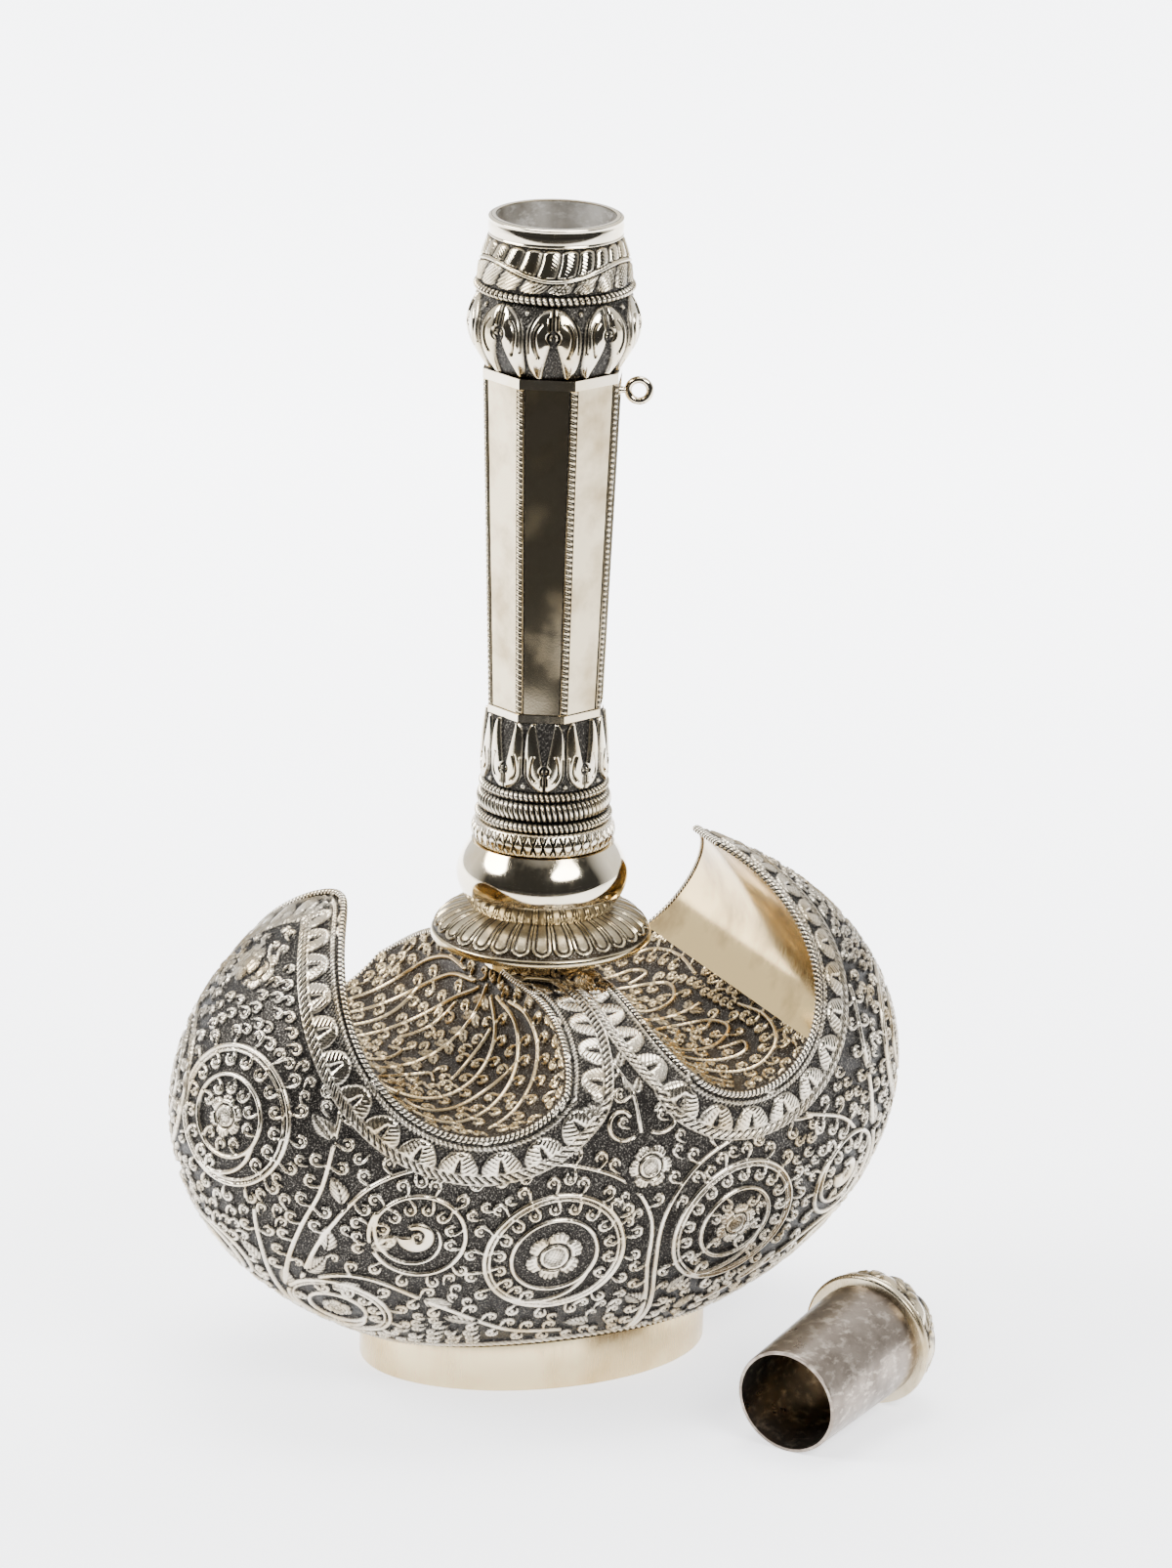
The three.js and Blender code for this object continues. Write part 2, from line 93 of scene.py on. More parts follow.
# Cells of the map that the chasing is drawn on, and of the skins that carry it
MAP_COLUMNS = 2400
MAP_ROWS = 960
LOWEST = math.radians(-68)
FINE_PITCH = 0.36
COARSE_PITCH = 0.7

# How far a bud reaches in its own size, and the steps along a stem: radians on the body,
# millimetres on a floor
BUD_REACH = 3.2
STEM_STEP = 0.006
FLOOR_STEP = 0.35

# A scoop's rim: the angles that its border is measured between, its samples and how far the
# nearest is sought, and the points across each of its two straight bars
RIM_START = math.radians(175)
RIM_END = math.radians(425)
RIM_SAMPLES = 501
RIM_SEARCH = 75
BAR_POINTS = 38

# A floor's length along the bore, the angle at its middle, the width and length of its map, and
# the samples that even out a skin's columns
FLOOR_RUN = 116.0
FLOOR_MIDDLE = math.radians(254)
FLOOR_MAP = (64, 124)
ARC_SAMPLES = 2000

# Halvings that drop a point onto the saddle
SADDLE_HALVINGS = 18

# Relief up to which the ground counts as bare
BARE = 0.05

SEED = 7


def to_linear(channel):
    if channel <= 0.04045:
        return channel / 12.92
    return ((channel + 0.055) / 1.055) ** 2.4


def hex_color(text):
    """A linear colour with alpha from an sRGB hex value."""
    parts = [int(text[i : i + 2], 16) / 255 for i in (1, 3, 5)]
    return (*[to_linear(c) for c in parts], 1.0)


def flask_settings():
    return bpy.context.scene.flask_settings


# Surface of the body


def on_bore(offset, height, radius, angle):
    """Distance from the middle and height of a place at an angle round a scoop's bore."""
    return offset + radius * np.cos(angle), height + radius * np.sin(angle)


def polar(radius, angle, height):
    """Points about the upright axis."""
    return np.stack([radius * np.cos(angle), radius * np.sin(angle), height], axis=-1)


def saddle_height(depth):
    """Height of the saddle's ridge at a depth from the axis."""
    run = np.maximum(np.abs(depth) - SADDLE_FLAT, 0) / SADDLE_RUN
    return SADDLE_TOP - SADDLE_FALL * run**2


def saddle_depth(height):
    fall = np.clip((SADDLE_TOP - height) / SADDLE_FALL, 0, None)
    return SADDLE_FLAT + SADDLE_RUN * np.sqrt(fall)


def nearest_scoop(points):
    """Distance outside the nearer bore, and its scoop's side, offset, radius and height."""
    x, z = points[..., 0], points[..., 2]
    gaps = [np.hypot(x - s * o, z - h) - r for s, o, r, h in (LEFT_SCOOP, RIGHT_SCOOP)]
    right = gaps[1] < gaps[0]
    values = [np.where(right, b, a) for a, b in zip(LEFT_SCOOP, RIGHT_SCOOP)]
    return np.minimum(*gaps), values


def rim_depth(x, z, offset):
    """Half depth of the body at a distance from the middle and a height, saddle included."""
    inside = 1 - (x / BODY_LENGTH) ** 2 - ((z - EQUATOR) / BODY_HEIGHT) ** 2
    depth = BODY_DEPTH * np.sqrt(np.clip(inside, 0, None))
    return np.where(x < offset, np.minimum(depth, saddle_depth(z)), depth)


def body_point(lon, lat):
    """Point on the body at a longitude and latitude, dropped onto the saddle from above it."""
    x = BODY_LENGTH * np.cos(lat) * np.cos(lon)
    y = BODY_DEPTH * np.cos(lat) * np.sin(lon)
    z = BODY_HEIGHT * np.sin(lat)
    low = np.zeros_like(x)
    high = np.ones_like(x)
    above = (EQUATOR + z > saddle_height(y)) & (x > -LEFT_SCOOP[1]) & (x < RIGHT_SCOOP[1])
    for _ in range(SADDLE_HALVINGS):
        middle = (low + high) / 2
        over = EQUATOR + middle * z > saddle_height(middle * y)
        high = np.where(over, middle, high)
        low = np.where(over, low, middle)
    scale = np.where(above, low, 1.0)
    return np.stack([x * scale, y * scale, EQUATOR + z * scale], axis=-1)


def unit(vectors):
    return vectors / np.maximum(np.linalg.norm(vectors, axis=-1, keepdims=True), 1e-9)


def body_frame(lon, lat):
    """Point, east and north unit vectors and outward normal of the plain body."""
    step = 1e-3
    point = body_point(lon, lat)
    east = unit(body_point(lon + step, lat) - body_point(lon - step, lat))
    north = body_point(lon, lat + step) - body_point(lon, lat - step)
    normal = unit(np.cross(east, north))
    return point, east, np.cross(normal, east), normal


# Motifs, each a height from 0 to 1 over local millimetres


def ridge(distance, width):
    """A round-topped raised line."""
    return np.sqrt(np.clip(1 - (distance / width) ** 2, 0, 1))


def hollow(distance, width):
    """A soft dip, 1 on its line and 0 away from it."""
    return np.exp(-((distance / width) ** 2))


def from_middle(turns):
    """0 at the middle of each turn and 1 where two meet."""
    return np.abs(turns % 1 - 0.5) * 2


def from_edge(t):
    """How far a place is from the nearer end of a band."""
    return np.minimum(t, 1 - t)


def step_between(value, low, high):
    """0 below a value, 1 above another and smooth between them."""
    t = np.clip((value - low) / (high - low), 0, 1)
    return t * t * (3 - 2 * t)


def along_points(u, v, places, widths):
    """Least distance to a run of places, each measured in its own width."""
    nearest = np.full(np.shape(u), 9.0)
    for (a, b), width in zip(places, widths):
        nearest = np.minimum(nearest, np.hypot(u - a, v - b) / width)
    return nearest


def curl(u, v, size):
    """A comma-shaped bud: a round seed in a hook whose tail runs off below it."""
    seed = ridge(np.hypot(u, v), 0.52 * size)
    places = []
    for t in np.linspace(0, 1, 9):
        angle = math.radians(-50 + 240 * t)
        places.append((1.12 * size * math.cos(angle), 1.12 * size * math.sin(angle)))
    for t in np.linspace(0.15, 1, 6):
        places.append((size * (-1.12 + 0.15 * t + 0.8 * t**2), -2.7 * size * t))
    widths = [size * (0.28 + 0.2 * math.sin(math.pi * k / 9)) for k in range(9)]
    widths += [size * (0.5 - 0.06 * k) for k in range(6)]
    hook = np.clip(1 - along_points(u, v, places, widths) ** 2, 0, 1) ** 0.45
    return np.maximum(seed, hook)


def leaf(u, v, length, width):
    """A hatched half-leaf that runs from its root at 0 to a bent tip."""
    t = np.clip(u / length, 0, 1)
    middle = 0.3 * length * t**2
    half = width * np.sin(math.pi * t**0.8) + 0.02
    across = (v - middle) / half
    inside = (u > 0) & (u < length) & (np.abs(across) < 1)
    veins = 0.5 + 0.5 * np.cos((u - np.abs(v - middle) * 1.3) * 2 * math.pi / 1.4)
    body = np.clip(1 - across**2, 0, 1) ** 0.4 * (0.45 + 0.55 * veins)
    body = body * (1 - 0.7 * np.exp(-((v - middle) ** 2) / 0.06))
    return np.where(inside, body, 0)


def flower(u, v, size, petals):
    """A rosette: a dotted boss in a raised ring, and notched petals with hatched edges."""
    radius = np.hypot(u, v) / size
    angle = np.arctan2(v, u)
    dots = 0.5 + 0.5 * np.cos(u * 2 * math.pi / 1.2) * np.cos(v * 2 * math.pi / 1.2)
    height = ridge(radius, 0.4) * (0.45 + 0.55 * dots)
    height = np.maximum(height, ridge(np.abs(radius - 0.42), 0.07))
    lobe = np.abs(np.cos(petals * angle / 2))
    edge = 0.8 + 0.2 * lobe**0.7
    hatch = 0.5 + 0.5 * np.cos(angle * petals * 5)
    rise = step_between(radius, 0.5, 0.62) * (1 - step_between(radius, edge - 0.07, edge))
    notch = 1 - 0.8 * hollow(lobe, 0.14)
    cut = 1 - 0.55 * hatch * step_between(radius, 0.66, 0.74)
    return np.maximum(height, rise * notch * cut * 0.95)


def smooth_path(knots, step):
    """Catmull-Rom points through knots, about evenly spaced."""
    points = [np.array(k, float) for k in knots]
    ends = [2 * points[0] - points[1], *points, 2 * points[-1] - points[-2]]
    path = []
    for i in range(1, len(ends) - 2):
        a, b, c, d = ends[i - 1 : i + 3]
        count = max(int(np.linalg.norm(c - b) / step), 2)
        for k in range(count):
            t = k / count
            square = 2 * a - 5 * b + 4 * c - d
            cube = 3 * b - a - 3 * c + d
            curve = 2 * b + (c - a) * t + square * t**2 + cube * t**3
            path.append(curve / 2)
    path.append(points[-1])
    return path


class Relief:
    """A map of heights from 0 to 1, drawn motif by motif over a surface."""

    def __init__(self, points):
        self.points = points
        self.height = np.zeros(points.shape[:-1])

    def stamp(self, at, size, motif, turn=0.0, clear=0.0):
        """Raises a motif about a place, turned in the surface."""
        cells, point, east, north = self.window(at, size)
        if cells is None:
            return
        local = self.points[cells] - point
        along = local @ east
        up = local @ north
        u = along * math.cos(turn) + up * math.sin(turn)
        v = up * math.cos(turn) - along * math.sin(turn)
        near = np.linalg.norm(local, axis=-1) < size
        old = np.where(np.hypot(u, v) < clear, 0, self.height[cells])
        self.height[cells] = np.maximum(old, np.where(near, motif(u, v), 0))

    def stroke(self, path, width, taper=0.0):
        """Raises a round-topped stem along a path."""
        field = np.full(self.height.shape, 2.0)
        for k, at in enumerate(path):
            reach = width * (1 - taper * k / max(len(path) - 1, 1))
            cells, point, _, _ = self.window(at, reach)
            if cells is None:
                continue
            away = np.linalg.norm(self.points[cells] - point, axis=-1) / reach
            field[cells] = np.minimum(field[cells], away)
        self.height = np.maximum(self.height, np.clip(1 - field**2, 0, 1) ** 0.4)

    def bud(self, at, size, turn, hand=1):
        """Stamps a bud, mirrored where its hand is -1."""
        self.stamp(at, BUD_REACH * size, lambda u, v: curl(u * hand, v, size), turn)

    def hatched_leaf(self, at, reach, length, width, turn, hand=1, clear=0.0):
        """Stamps a half-leaf, mirrored where its hand is -1."""
        self.stamp(at, reach, lambda u, v: leaf(u, v * hand, length, width), turn, clear)

    def rosette(self, at, reach, size, turn=0.0, clear=0.0):
        """Stamps a flower of six petals."""
        self.stamp(at, reach, lambda u, v: flower(u, v, size, 6), turn, clear)

    def wipe(self, at, size, clear):
        """Clears the ground about a place."""
        self.stamp(at, size, lambda u, v: 0 * u, clear=clear)

    def is_bare(self, at, size):
        """True where nothing is raised within a size."""
        cells, point, _, _ = self.window(at, size)
        if cells is None:
            return False
        near = np.linalg.norm(self.points[cells] - point, axis=-1) < size
        return bool(near.any()) and not np.any(self.height[cells][near] > BARE)

    def ring(self, at, start, sweep, first, last):
        """Places round a centre, from one radius to another over a sweep in radians."""
        count = max(int(abs(sweep) * max(first, last) / 0.45), 8)
        places = []
        for k in range(count + 1):
            t = k / count
            radius = first + (last - first) * t
            angle = start + sweep * t
            places.append(self.shifted(at, radius * math.cos(angle), radius * math.sin(angle)))
        return places

    def curls_along(self, path, gap, size, spacing, sides=(1, -1)):
        """Buds standing off both sides of a path, with their tails towards it."""
        spots = [self.spot(at) for at in path]
        run = 0.0
        due = spacing * 0.6
        for k in range(1, len(path) - 1):
            run += np.linalg.norm(spots[k][0] - spots[k - 1][0])
            if run < due:
                continue
            due = run + spacing
            _, east, north = spots[k]
            ahead = spots[k + 1][0] - spots[k - 1][0]
            heading = math.atan2(ahead @ north, ahead @ east)
            for side in sides:
                away = heading + side * math.pi / 2
                spot = self.shifted(path[k], gap * math.cos(away), gap * math.sin(away))
                if self.is_bare(spot, 1.3 * size):
                    self.bud(spot, size, heading + (0 if side > 0 else math.pi), side)


class BodyRelief(Relief):
    """Relief over the whole outside of the body, mapped by longitude and latitude in radians."""

    def __init__(self):
        lons = (np.arange(MAP_COLUMNS) + 0.5) / MAP_COLUMNS * 2 * math.pi - math.pi
        lats = LOWEST + (np.arange(MAP_ROWS) + 0.5) / MAP_ROWS * (math.pi / 2 - LOWEST)
        super().__init__(body_point(*np.meshgrid(lons, lats)))

    def cell(self, lon, lat):
        column = (lon + math.pi) / (2 * math.pi) * MAP_COLUMNS - 0.5
        row = (lat - LOWEST) / (math.pi / 2 - LOWEST) * MAP_ROWS - 0.5
        return column, row

    def spot(self, at):
        point, east, north, _ = body_frame(np.array(float(at[0])), np.array(float(at[1])))
        return point, east, north

    def shifted(self, at, across, up):
        """The longitude and latitude some millimetres away in the surface."""
        point, east, north = self.spot(at)
        place = (point + across * east + up * north - np.array([0, 0, EQUATOR])) / RADII
        place = place / np.linalg.norm(place)
        return math.atan2(place[1], place[0]), math.asin(place[2])

    def window(self, at, size):
        lon, lat = at
        point, east, north = self.spot(at)
        column, row = self.cell(lon, lat)
        around = math.hypot(BODY_LENGTH * math.sin(lon), BODY_DEPTH * math.cos(lon))
        stretch = max(math.cos(lat), 0.08) * around
        columns = min(int(size / (stretch * 2 * math.pi / MAP_COLUMNS)) + 2, MAP_COLUMNS // 2 - 1)
        rows = int(size / (0.78 * BODY_DEPTH * (math.pi / 2 - LOWEST) / MAP_ROWS)) + 2
        level = np.arange(max(int(row) - rows, 0), min(int(row) + rows, MAP_ROWS))
        side = np.arange(int(column) - columns, int(column) + columns) % MAP_COLUMNS
        if level.size == 0:
            return None, point, east, north
        return np.ix_(level, side), point, east, north

    def sample(self, lon, lat):
        """Relief at any longitudes and latitudes, between the cells."""
        column, row = self.cell(lon, lat)
        return between_cells(self.height, column % MAP_COLUMNS, row)


class SheetRelief(Relief):
    """Relief over a sheet that lies flat, mapped in millimetres from its middle."""

    PITCH = 0.22

    def __init__(self, width, depth):
        self.low = np.array([-width / 2, -depth / 2])
        self.count = (int(width / self.PITCH), int(depth / self.PITCH))
        x = self.low[0] + (np.arange(self.count[0]) + 0.5) * self.PITCH
        y = self.low[1] + (np.arange(self.count[1]) + 0.5) * self.PITCH
        x, y = np.meshgrid(x, y)
        super().__init__(np.stack([x, y, np.zeros_like(x)], axis=-1))

    def spot(self, at):
        return np.array([at[0], at[1], 0.0]), np.array([1.0, 0, 0]), np.array([0, 1.0, 0])

    def shifted(self, at, across, up):
        return at[0] + across, at[1] + up

    def window(self, at, size):
        first = [int((at[k] - size - self.low[k]) / self.PITCH) for k in (0, 1)]
        last = [int((at[k] + size - self.low[k]) / self.PITCH) + 2 for k in (0, 1)]
        side = np.arange(max(first[0], 0), min(last[0], self.count[0]))
        level = np.arange(max(first[1], 0), min(last[1], self.count[1]))
        if side.size == 0 or level.size == 0:
            return (None, *self.spot(at))
        return (np.ix_(level, side), *self.spot(at))

    def sample(self, x, y):
        column = (x - self.low[0]) / self.PITCH - 0.5
        row = (y - self.low[1]) / self.PITCH - 0.5
        return between_cells(self.height, np.clip(column, 0, self.count[0] - 1.001), row)


def between_cells(height, column, row):
    """Value of a map between its cells; columns wrap round."""
    rows, columns = height.shape
    row = np.clip(row, 0, rows - 1.001)
    left = np.floor(column).astype(int)
    low = np.floor(row).astype(int)
    a = column - left
    b = row - low
    right = (left + 1) % columns
    left = left % columns
    lower = height[low, left] * (1 - a) + height[low, right] * a
    upper = height[low + 1, left] * (1 - a) + height[low + 1, right] * a
    return lower * (1 - b) + upper * b


# Rosettes in rings of buds: longitude, latitude, flower, inner ring and outer ring in millimetres
MEDALLIONS = (
    (-164, 7, 5.6, 10.5, 18.0),
    (-16, 7, 5.6, 10.5, 18.0),
    (-103, -21.4, 7.8, 11.2, 18.4),
    (-70.7, -20, 6.2, 10.5, 18.4),
    (-150, -39.5, 4.2, 7.5, 13.5),
    (-30, -39.5, 4.2, 7.5, 13.5),
)

# Scrolls with a crescent leaf at their heart: longitude, latitude and size
SCROLLS = ((-125.5, -15, 12.5), (-43.5, -16.5, 12.5), (-178, -27, 10.0), (-2, -27, 10.0))

# Lone rosettes without rings: longitude, latitude and size
ROSETTES = ((-88.4, -2.0, 6.2), (-176, 36, 6.0), (-4, 36, 6.0))

# Stems, as longitudes and latitudes in degrees, with a width in millimetres
STEMS = (
    (((-81, -56), (-82, -45), (-86, -28), (-87.5, -14), (-93, -4), (-104, 1), (-116, 0)), 0.8),
    (((-80, -56), (-80.5, -45), (-84.5, -28), (-85, -14), (-80, -3), (-70, 2), (-58, 1)), 0.8),
    (((-167, -43), (-155, -27), (-146, -13), (-141, -3), (-139, 12), (-142, 24)), 0.9),
    (((-166, -44), (-152, -29), (-141, -14), (-132, -3), (-121, 2), (-110, 3)), 0.9),
    (((-165, -45), (-150, -30), (-137, -27), (-124, -36), (-112, -46), (-100, -48)), 0.85),
    (((-168, -43), (-160, -25), (-157, -12)), 0.85),
    (((-13, -43), (-25, -27), (-34, -13), (-39, -3), (-41, 12), (-38, 24)), 0.9),
    (((-14, -44), (-28, -29), (-39, -14), (-48, -3), (-59, 2)), 0.9),
    (((-15, -45), (-30, -30), (-43, -29), (-56, -38), (-66, -46)), 0.85),
    (((-90, 6), (-91, 14), (-93, 22), (-95, 30), (-97, 38)), 0.6),
)


def in_radians(place):
    return math.radians(place[0]), math.radians(place[1])


def draw_medallion(chasing, place, mirror):
    """A vine that runs round a rosette and winds in to a second ring, with buds on both sides."""
    lon, lat, bloom, inner, outer = place
    at = in_radians((lon * mirror, lat))
    chasing.wipe(at, outer + 1, outer + 0.8)
    start = -2.2 * mirror
    outside = chasing.ring(at, start, 2 * math.pi * mirror, outer, outer)
    companion = chasing.ring(at, start, 2 * math.pi * mirror, outer - 1.35, outer - 1.35)
    inward = chasing.ring(at, start, 1.6 * mirror, outer, inner)
    inside = chasing.ring(at, start + 1.6 * mirror, 2 * math.pi * mirror, inner, inner)
    chasing.stroke(outside, 0.68)
    chasing.stroke(companion, 0.42)
    chasing.stroke(inward + inside, 0.64)
    chasing.rosette(at, bloom + 1, bloom, 0.4)
    for angle in (0.5, 1.6, 2.7, 4.0, 5.3):
        heading = angle * mirror
        reach = outer + 0.9
        root = chasing.shifted(at, reach * math.cos(heading), reach * math.sin(heading))
        if chasing.is_bare(root, 1.0):
            chasing.hatched_leaf(root, 7, 6.2, 2.0, heading + 0.8 * mirror, mirror)
    chasing.curls_along(outside, 3.6, 1.22, 6.2)
    chasing.curls_along(inside, 3.2, 1.15, 5.9)


def draw_scroll(chasing, place, mirror):
    """A vine wound round a comma-shaped leaf, with buds between its turns."""
    lon, lat, size = place
    at = in_radians((lon * mirror, lat))
    chasing.wipe(at, size + 1, size + 0.6)
    outside = chasing.ring(at, 2.6 * mirror, 2 * math.pi * mirror, size, size * 0.93)
    inward = chasing.ring(at, 2.6 * mirror, 4.4 * mirror, size * 0.93, size * 0.36)

    def comma(u, v):
        v = v * mirror
        ring = ridge(np.abs(np.hypot(u, v) - 3.1), 1.5 - 0.25 * np.clip(np.arctan2(v, u), -3, 3))
        return np.maximum(ring * (np.arctan2(v, u) < 2.2), curl(u, v, 0.9))

    chasing.stroke(outside, 0.68)
    chasing.stroke(inward, 0.62, taper=0.3)
    chasing.stamp(at, 6, comma, clear=5.2)
    chasing.curls_along(outside, 3.4, 1.2, 6.0)
    chasing.curls_along(inward, 3.0, 1.1, 5.6, (1,))


def draw_ridge_vine(chasing, mirror):
    """Two scrolls over the ridge's rosette, and leaves up the stem above them."""
    centre = in_radians((-88.4 * mirror, -2.0))
    for across, up, turn in ((-7.6, 12.6, 1), (3.4, 13.4, -1)):
        at = chasing.shifted(centre, across * mirror, up)
        path = chasing.ring(at, -1.57 + 0.6 * turn * mirror, -turn * mirror * 4.6, 5.0, 2.3)
        chasing.stroke(path, 0.62)
        chasing.stamp(at, 4, lambda u, v: curl(u, v, 1.05), turn=1.0)
    for k in range(5):
        for side in (1, -1):
            at = in_radians(((-90.5 - 1.5 * k) * mirror, 14 + 6 * k))
            chasing.hatched_leaf(at, 6, 5.2, 1.5, math.pi / 2 - side * 0.75, side)


# Hatched half-leaves where the stems fan out: longitude, latitude, turn in radians and length
# in millimetres
FAN_LEAVES = (
    (-160, -34, 1.0, 9),
    (-150, -27, 0.5, 9),
    (-146, -31, -0.1, 8),
    (-163, -27, 1.7, 8),
    (-127, -33, -0.7, 8),
    (-94, -46, 2.6, 7),
    (-73, -46, 0.5, 7),
    (-20, -34, 2.1, 9),
    (-30, -27, 2.6, 9),
    (-34, -31, 3.2, 8),
    (-53, -34, 3.8, 8),
    (-143, -20, 1.2, 8),
    (-138, -8, 1.6, 8),
    (-134, -18, 0.2, 8),
    (-140, 6, 2.0, 8),
    (-37, -8, 1.6, 8),
    (-41, 6, 1.2, 8),
    (-119, -42, 2.6, 8),
    (-84, -40, 2.2, 7),
    (-79, -38, 0.8, 7),
    (-60, -40, 0.4, 8),
)


def draw_fan_leaves(chasing, mirror):
    for lon, lat, turn, length in FAN_LEAVES:
        at = in_radians((lon * mirror, lat))
        angle = turn if mirror > 0 else math.pi - turn
        chasing.hatched_leaf(at, 12, length, 2.7, angle, mirror, 1.5)


def fill_with_buds(chasing, low, high, spacing):
    """Buds wherever the ground is still bare, in staggered rows."""
    rng = np.random.default_rng(SEED)
    lat = low
    row = 0
    while lat < high:
        around = math.cos(lat) * (BODY_LENGTH + BODY_DEPTH) * math.pi
        count = max(int(around / spacing), 8)
        for k in range(count):
            shift = 0.4 * (rng.random() - 0.5)
            turned = 2 * math.pi * (k + shift + 0.5 * (row % 2)) / count
            at = (-math.pi + turned, lat + 0.4 * shift * spacing / BODY_HEIGHT)
            size = 0.92 + 0.26 * rng.random()
            turn = 0.9 * math.sin(5 * at[0]) + 1.2 * math.cos(7 * lat) + 0.5 * rng.random()
            if chasing.is_bare(at, 1.5 * size):
                chasing.bud(at, size, turn)
        lat += spacing * 0.42 / BODY_HEIGHT
        row += 1


def rim_point(scoop, angle):
    """Point of a scoop's front rim at an angle round its bore."""
    side, offset, radius, height = scoop
    x, z = on_bore(offset, height, radius, angle)
    return np.stack([side * x, -rim_depth(x, z, offset), z], axis=-1)


def cuts(along, across, pitch, slant):
    """Slanting saw cuts across a bead."""
    return np.abs(np.cos(math.pi * (along + slant * across) / pitch)) ** 1.3


def rim_measure(points, scoop):
    """Distance from a scoop's rim and length along it, the same on the front and the back."""
    side, offset, _, height = scoop
    angles = np.linspace(RIM_START, RIM_END, RIM_SAMPLES)
    rim = rim_point(scoop, angles)
    runs = np.diff(rim, axis=0)
    lengths = np.concatenate([[0], np.cumsum(np.linalg.norm(runs, axis=1))])
    squares = np.maximum(np.sum(runs**2, axis=1), 1e-9)
    angle = np.arctan2(points[:, 2] - height, side * points[:, 0] - offset) % (2 * math.pi)
    angle = np.where(angle < math.radians(120), angle + 2 * math.pi, angle)
    guess = np.round((angle - angles[0]) / (angles[1] - angles[0])).astype(int)
    front = points * np.array([1, 0, 1]) - np.abs(points[:, 1:2]) * np.array([0, 1, 0])
    distance = np.full(len(points), 1e3)
    along = np.zeros(len(points))
    for shift in range(-RIM_SEARCH, RIM_SEARCH + 1, 3):
        k = np.clip(guess + shift, 0, len(runs) - 1)
        away = front - rim[k]
        t = np.clip(np.sum(away * runs[k], axis=1) / squares[k], -1, 2)
        gap = np.linalg.norm(away - runs[k] * t[:, None], axis=1)
        nearer = gap < distance
        distance = np.where(nearer, gap, distance)
        along = np.where(nearer, lengths[k] + t * np.sqrt(squares[k]), along)
    return distance, along


def draw_scoop_borders(chasing):
    """Ropes that edge each scoop, with hatched leaves between them; two bands share the ridge."""
    planar, _ = nearest_scoop(chasing.points)
    near = (planar < 26) & (chasing.points[..., 2] > EQUATOR - 10)
    points = chasing.points[near]
    left, along_left = rim_measure(points, LEFT_SCOOP)
    right, along_right = rim_measure(points, RIGHT_SCOOP)
    distance = np.minimum(left, right)
    along = np.where(left < right, along_left, along_right)
    outer = np.minimum(BAND_WIDTH + OUTER_ROPE, (left + right) / 2 - OUTER_ROPE)
    border = border_relief(along, distance, outer)
    here = distance < outer + OUTER_ROPE + 0.35
    chasing.height[near] = np.where(here, border, chasing.height[near])


def border_relief(along, distance, outer):
    """Relief of a border by length along the rim, distance from it and its outer rope's place."""
    inner = 3.1
    reach = outer - OUTER_ROPE
    bead = ridge(np.abs(distance - 2.4), 0.7) * (0.15 + 0.85 * cuts(along, distance, 1.15, 0.9))
    pitch = 8.6
    place = from_middle(along / pitch)
    depth = (distance - inner) / np.maximum(reach - inner, 1)
    edge = 0.03 + 0.75 * place**2.8
    rise = step_between(depth, edge, edge + 0.08)
    veins = np.abs(np.cos((distance * 1.1 + place * pitch * 0.5) * math.pi / 1.4))
    notch = hollow(place, 0.03 + 0.24 * np.clip(depth - 0.3, 0, 1) ** 1.2)
    gap = hollow(1 - place, 0.06)
    dome = np.clip(1 - (place / 1.05) ** 2, 0, 1) ** 0.3
    notched = 1 - notch * step_between(depth, 0.3, 0.5)
    leaves = rise * (0.5 + 0.5 * veins**0.6) * notched * (1 - gap) * dome
    leaves = leaves * step_between(reach - inner, 1.0, 3.0)
    stipple = 0.3 + 0.3 * np.cos(along * 2 * math.pi / 1.1) * np.cos(distance * 2 * math.pi / 1.1)
    ground = stipple * (1 - 0.8 * step_between(depth, 0.15, 0.45))
    band = np.maximum(leaves, ground * (1 - rise))
    away = distance - outer
    rope = ridge(away, OUTER_ROPE) * (0.05 + 0.95 * cuts(along, distance, 1.55, 0.9))
    edging = ridge(np.abs(away) - OUTER_ROPE, 0.3) * 0.8
    band = np.where(distance < inner, bead, band)
    return np.where(distance > reach - 0.2, np.maximum(rope, edging), band)


def foot_radii():
    """Half length and half depth of the oval foot in millimetres."""
    low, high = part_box("foot_ring")
    return (high.x - low.x) / 2 / MM, (high.y - low.y) / 2 / MM


def draw_foot_border(chasing):
    """A hatched line round the belly just above the foot."""
    length, depth = foot_radii()
    x, y = chasing.points[..., 0] / length, chasing.points[..., 1] / depth
    distance = (np.hypot(x, y) - 1) * (length + depth) / 2 - 3.2
    around = np.arctan2(y, x) * (length + depth) / 2
    line = ridge(distance, 1.3) * (0.4 + 0.6 * cuts(around, distance, 1.5, 1.0))
    line = np.where(distance < -1.3, 0.12, line)
    low = chasing.points[..., 2] < EQUATOR
    chasing.height = np.where(low & (distance < 1.5), line, chasing.height)


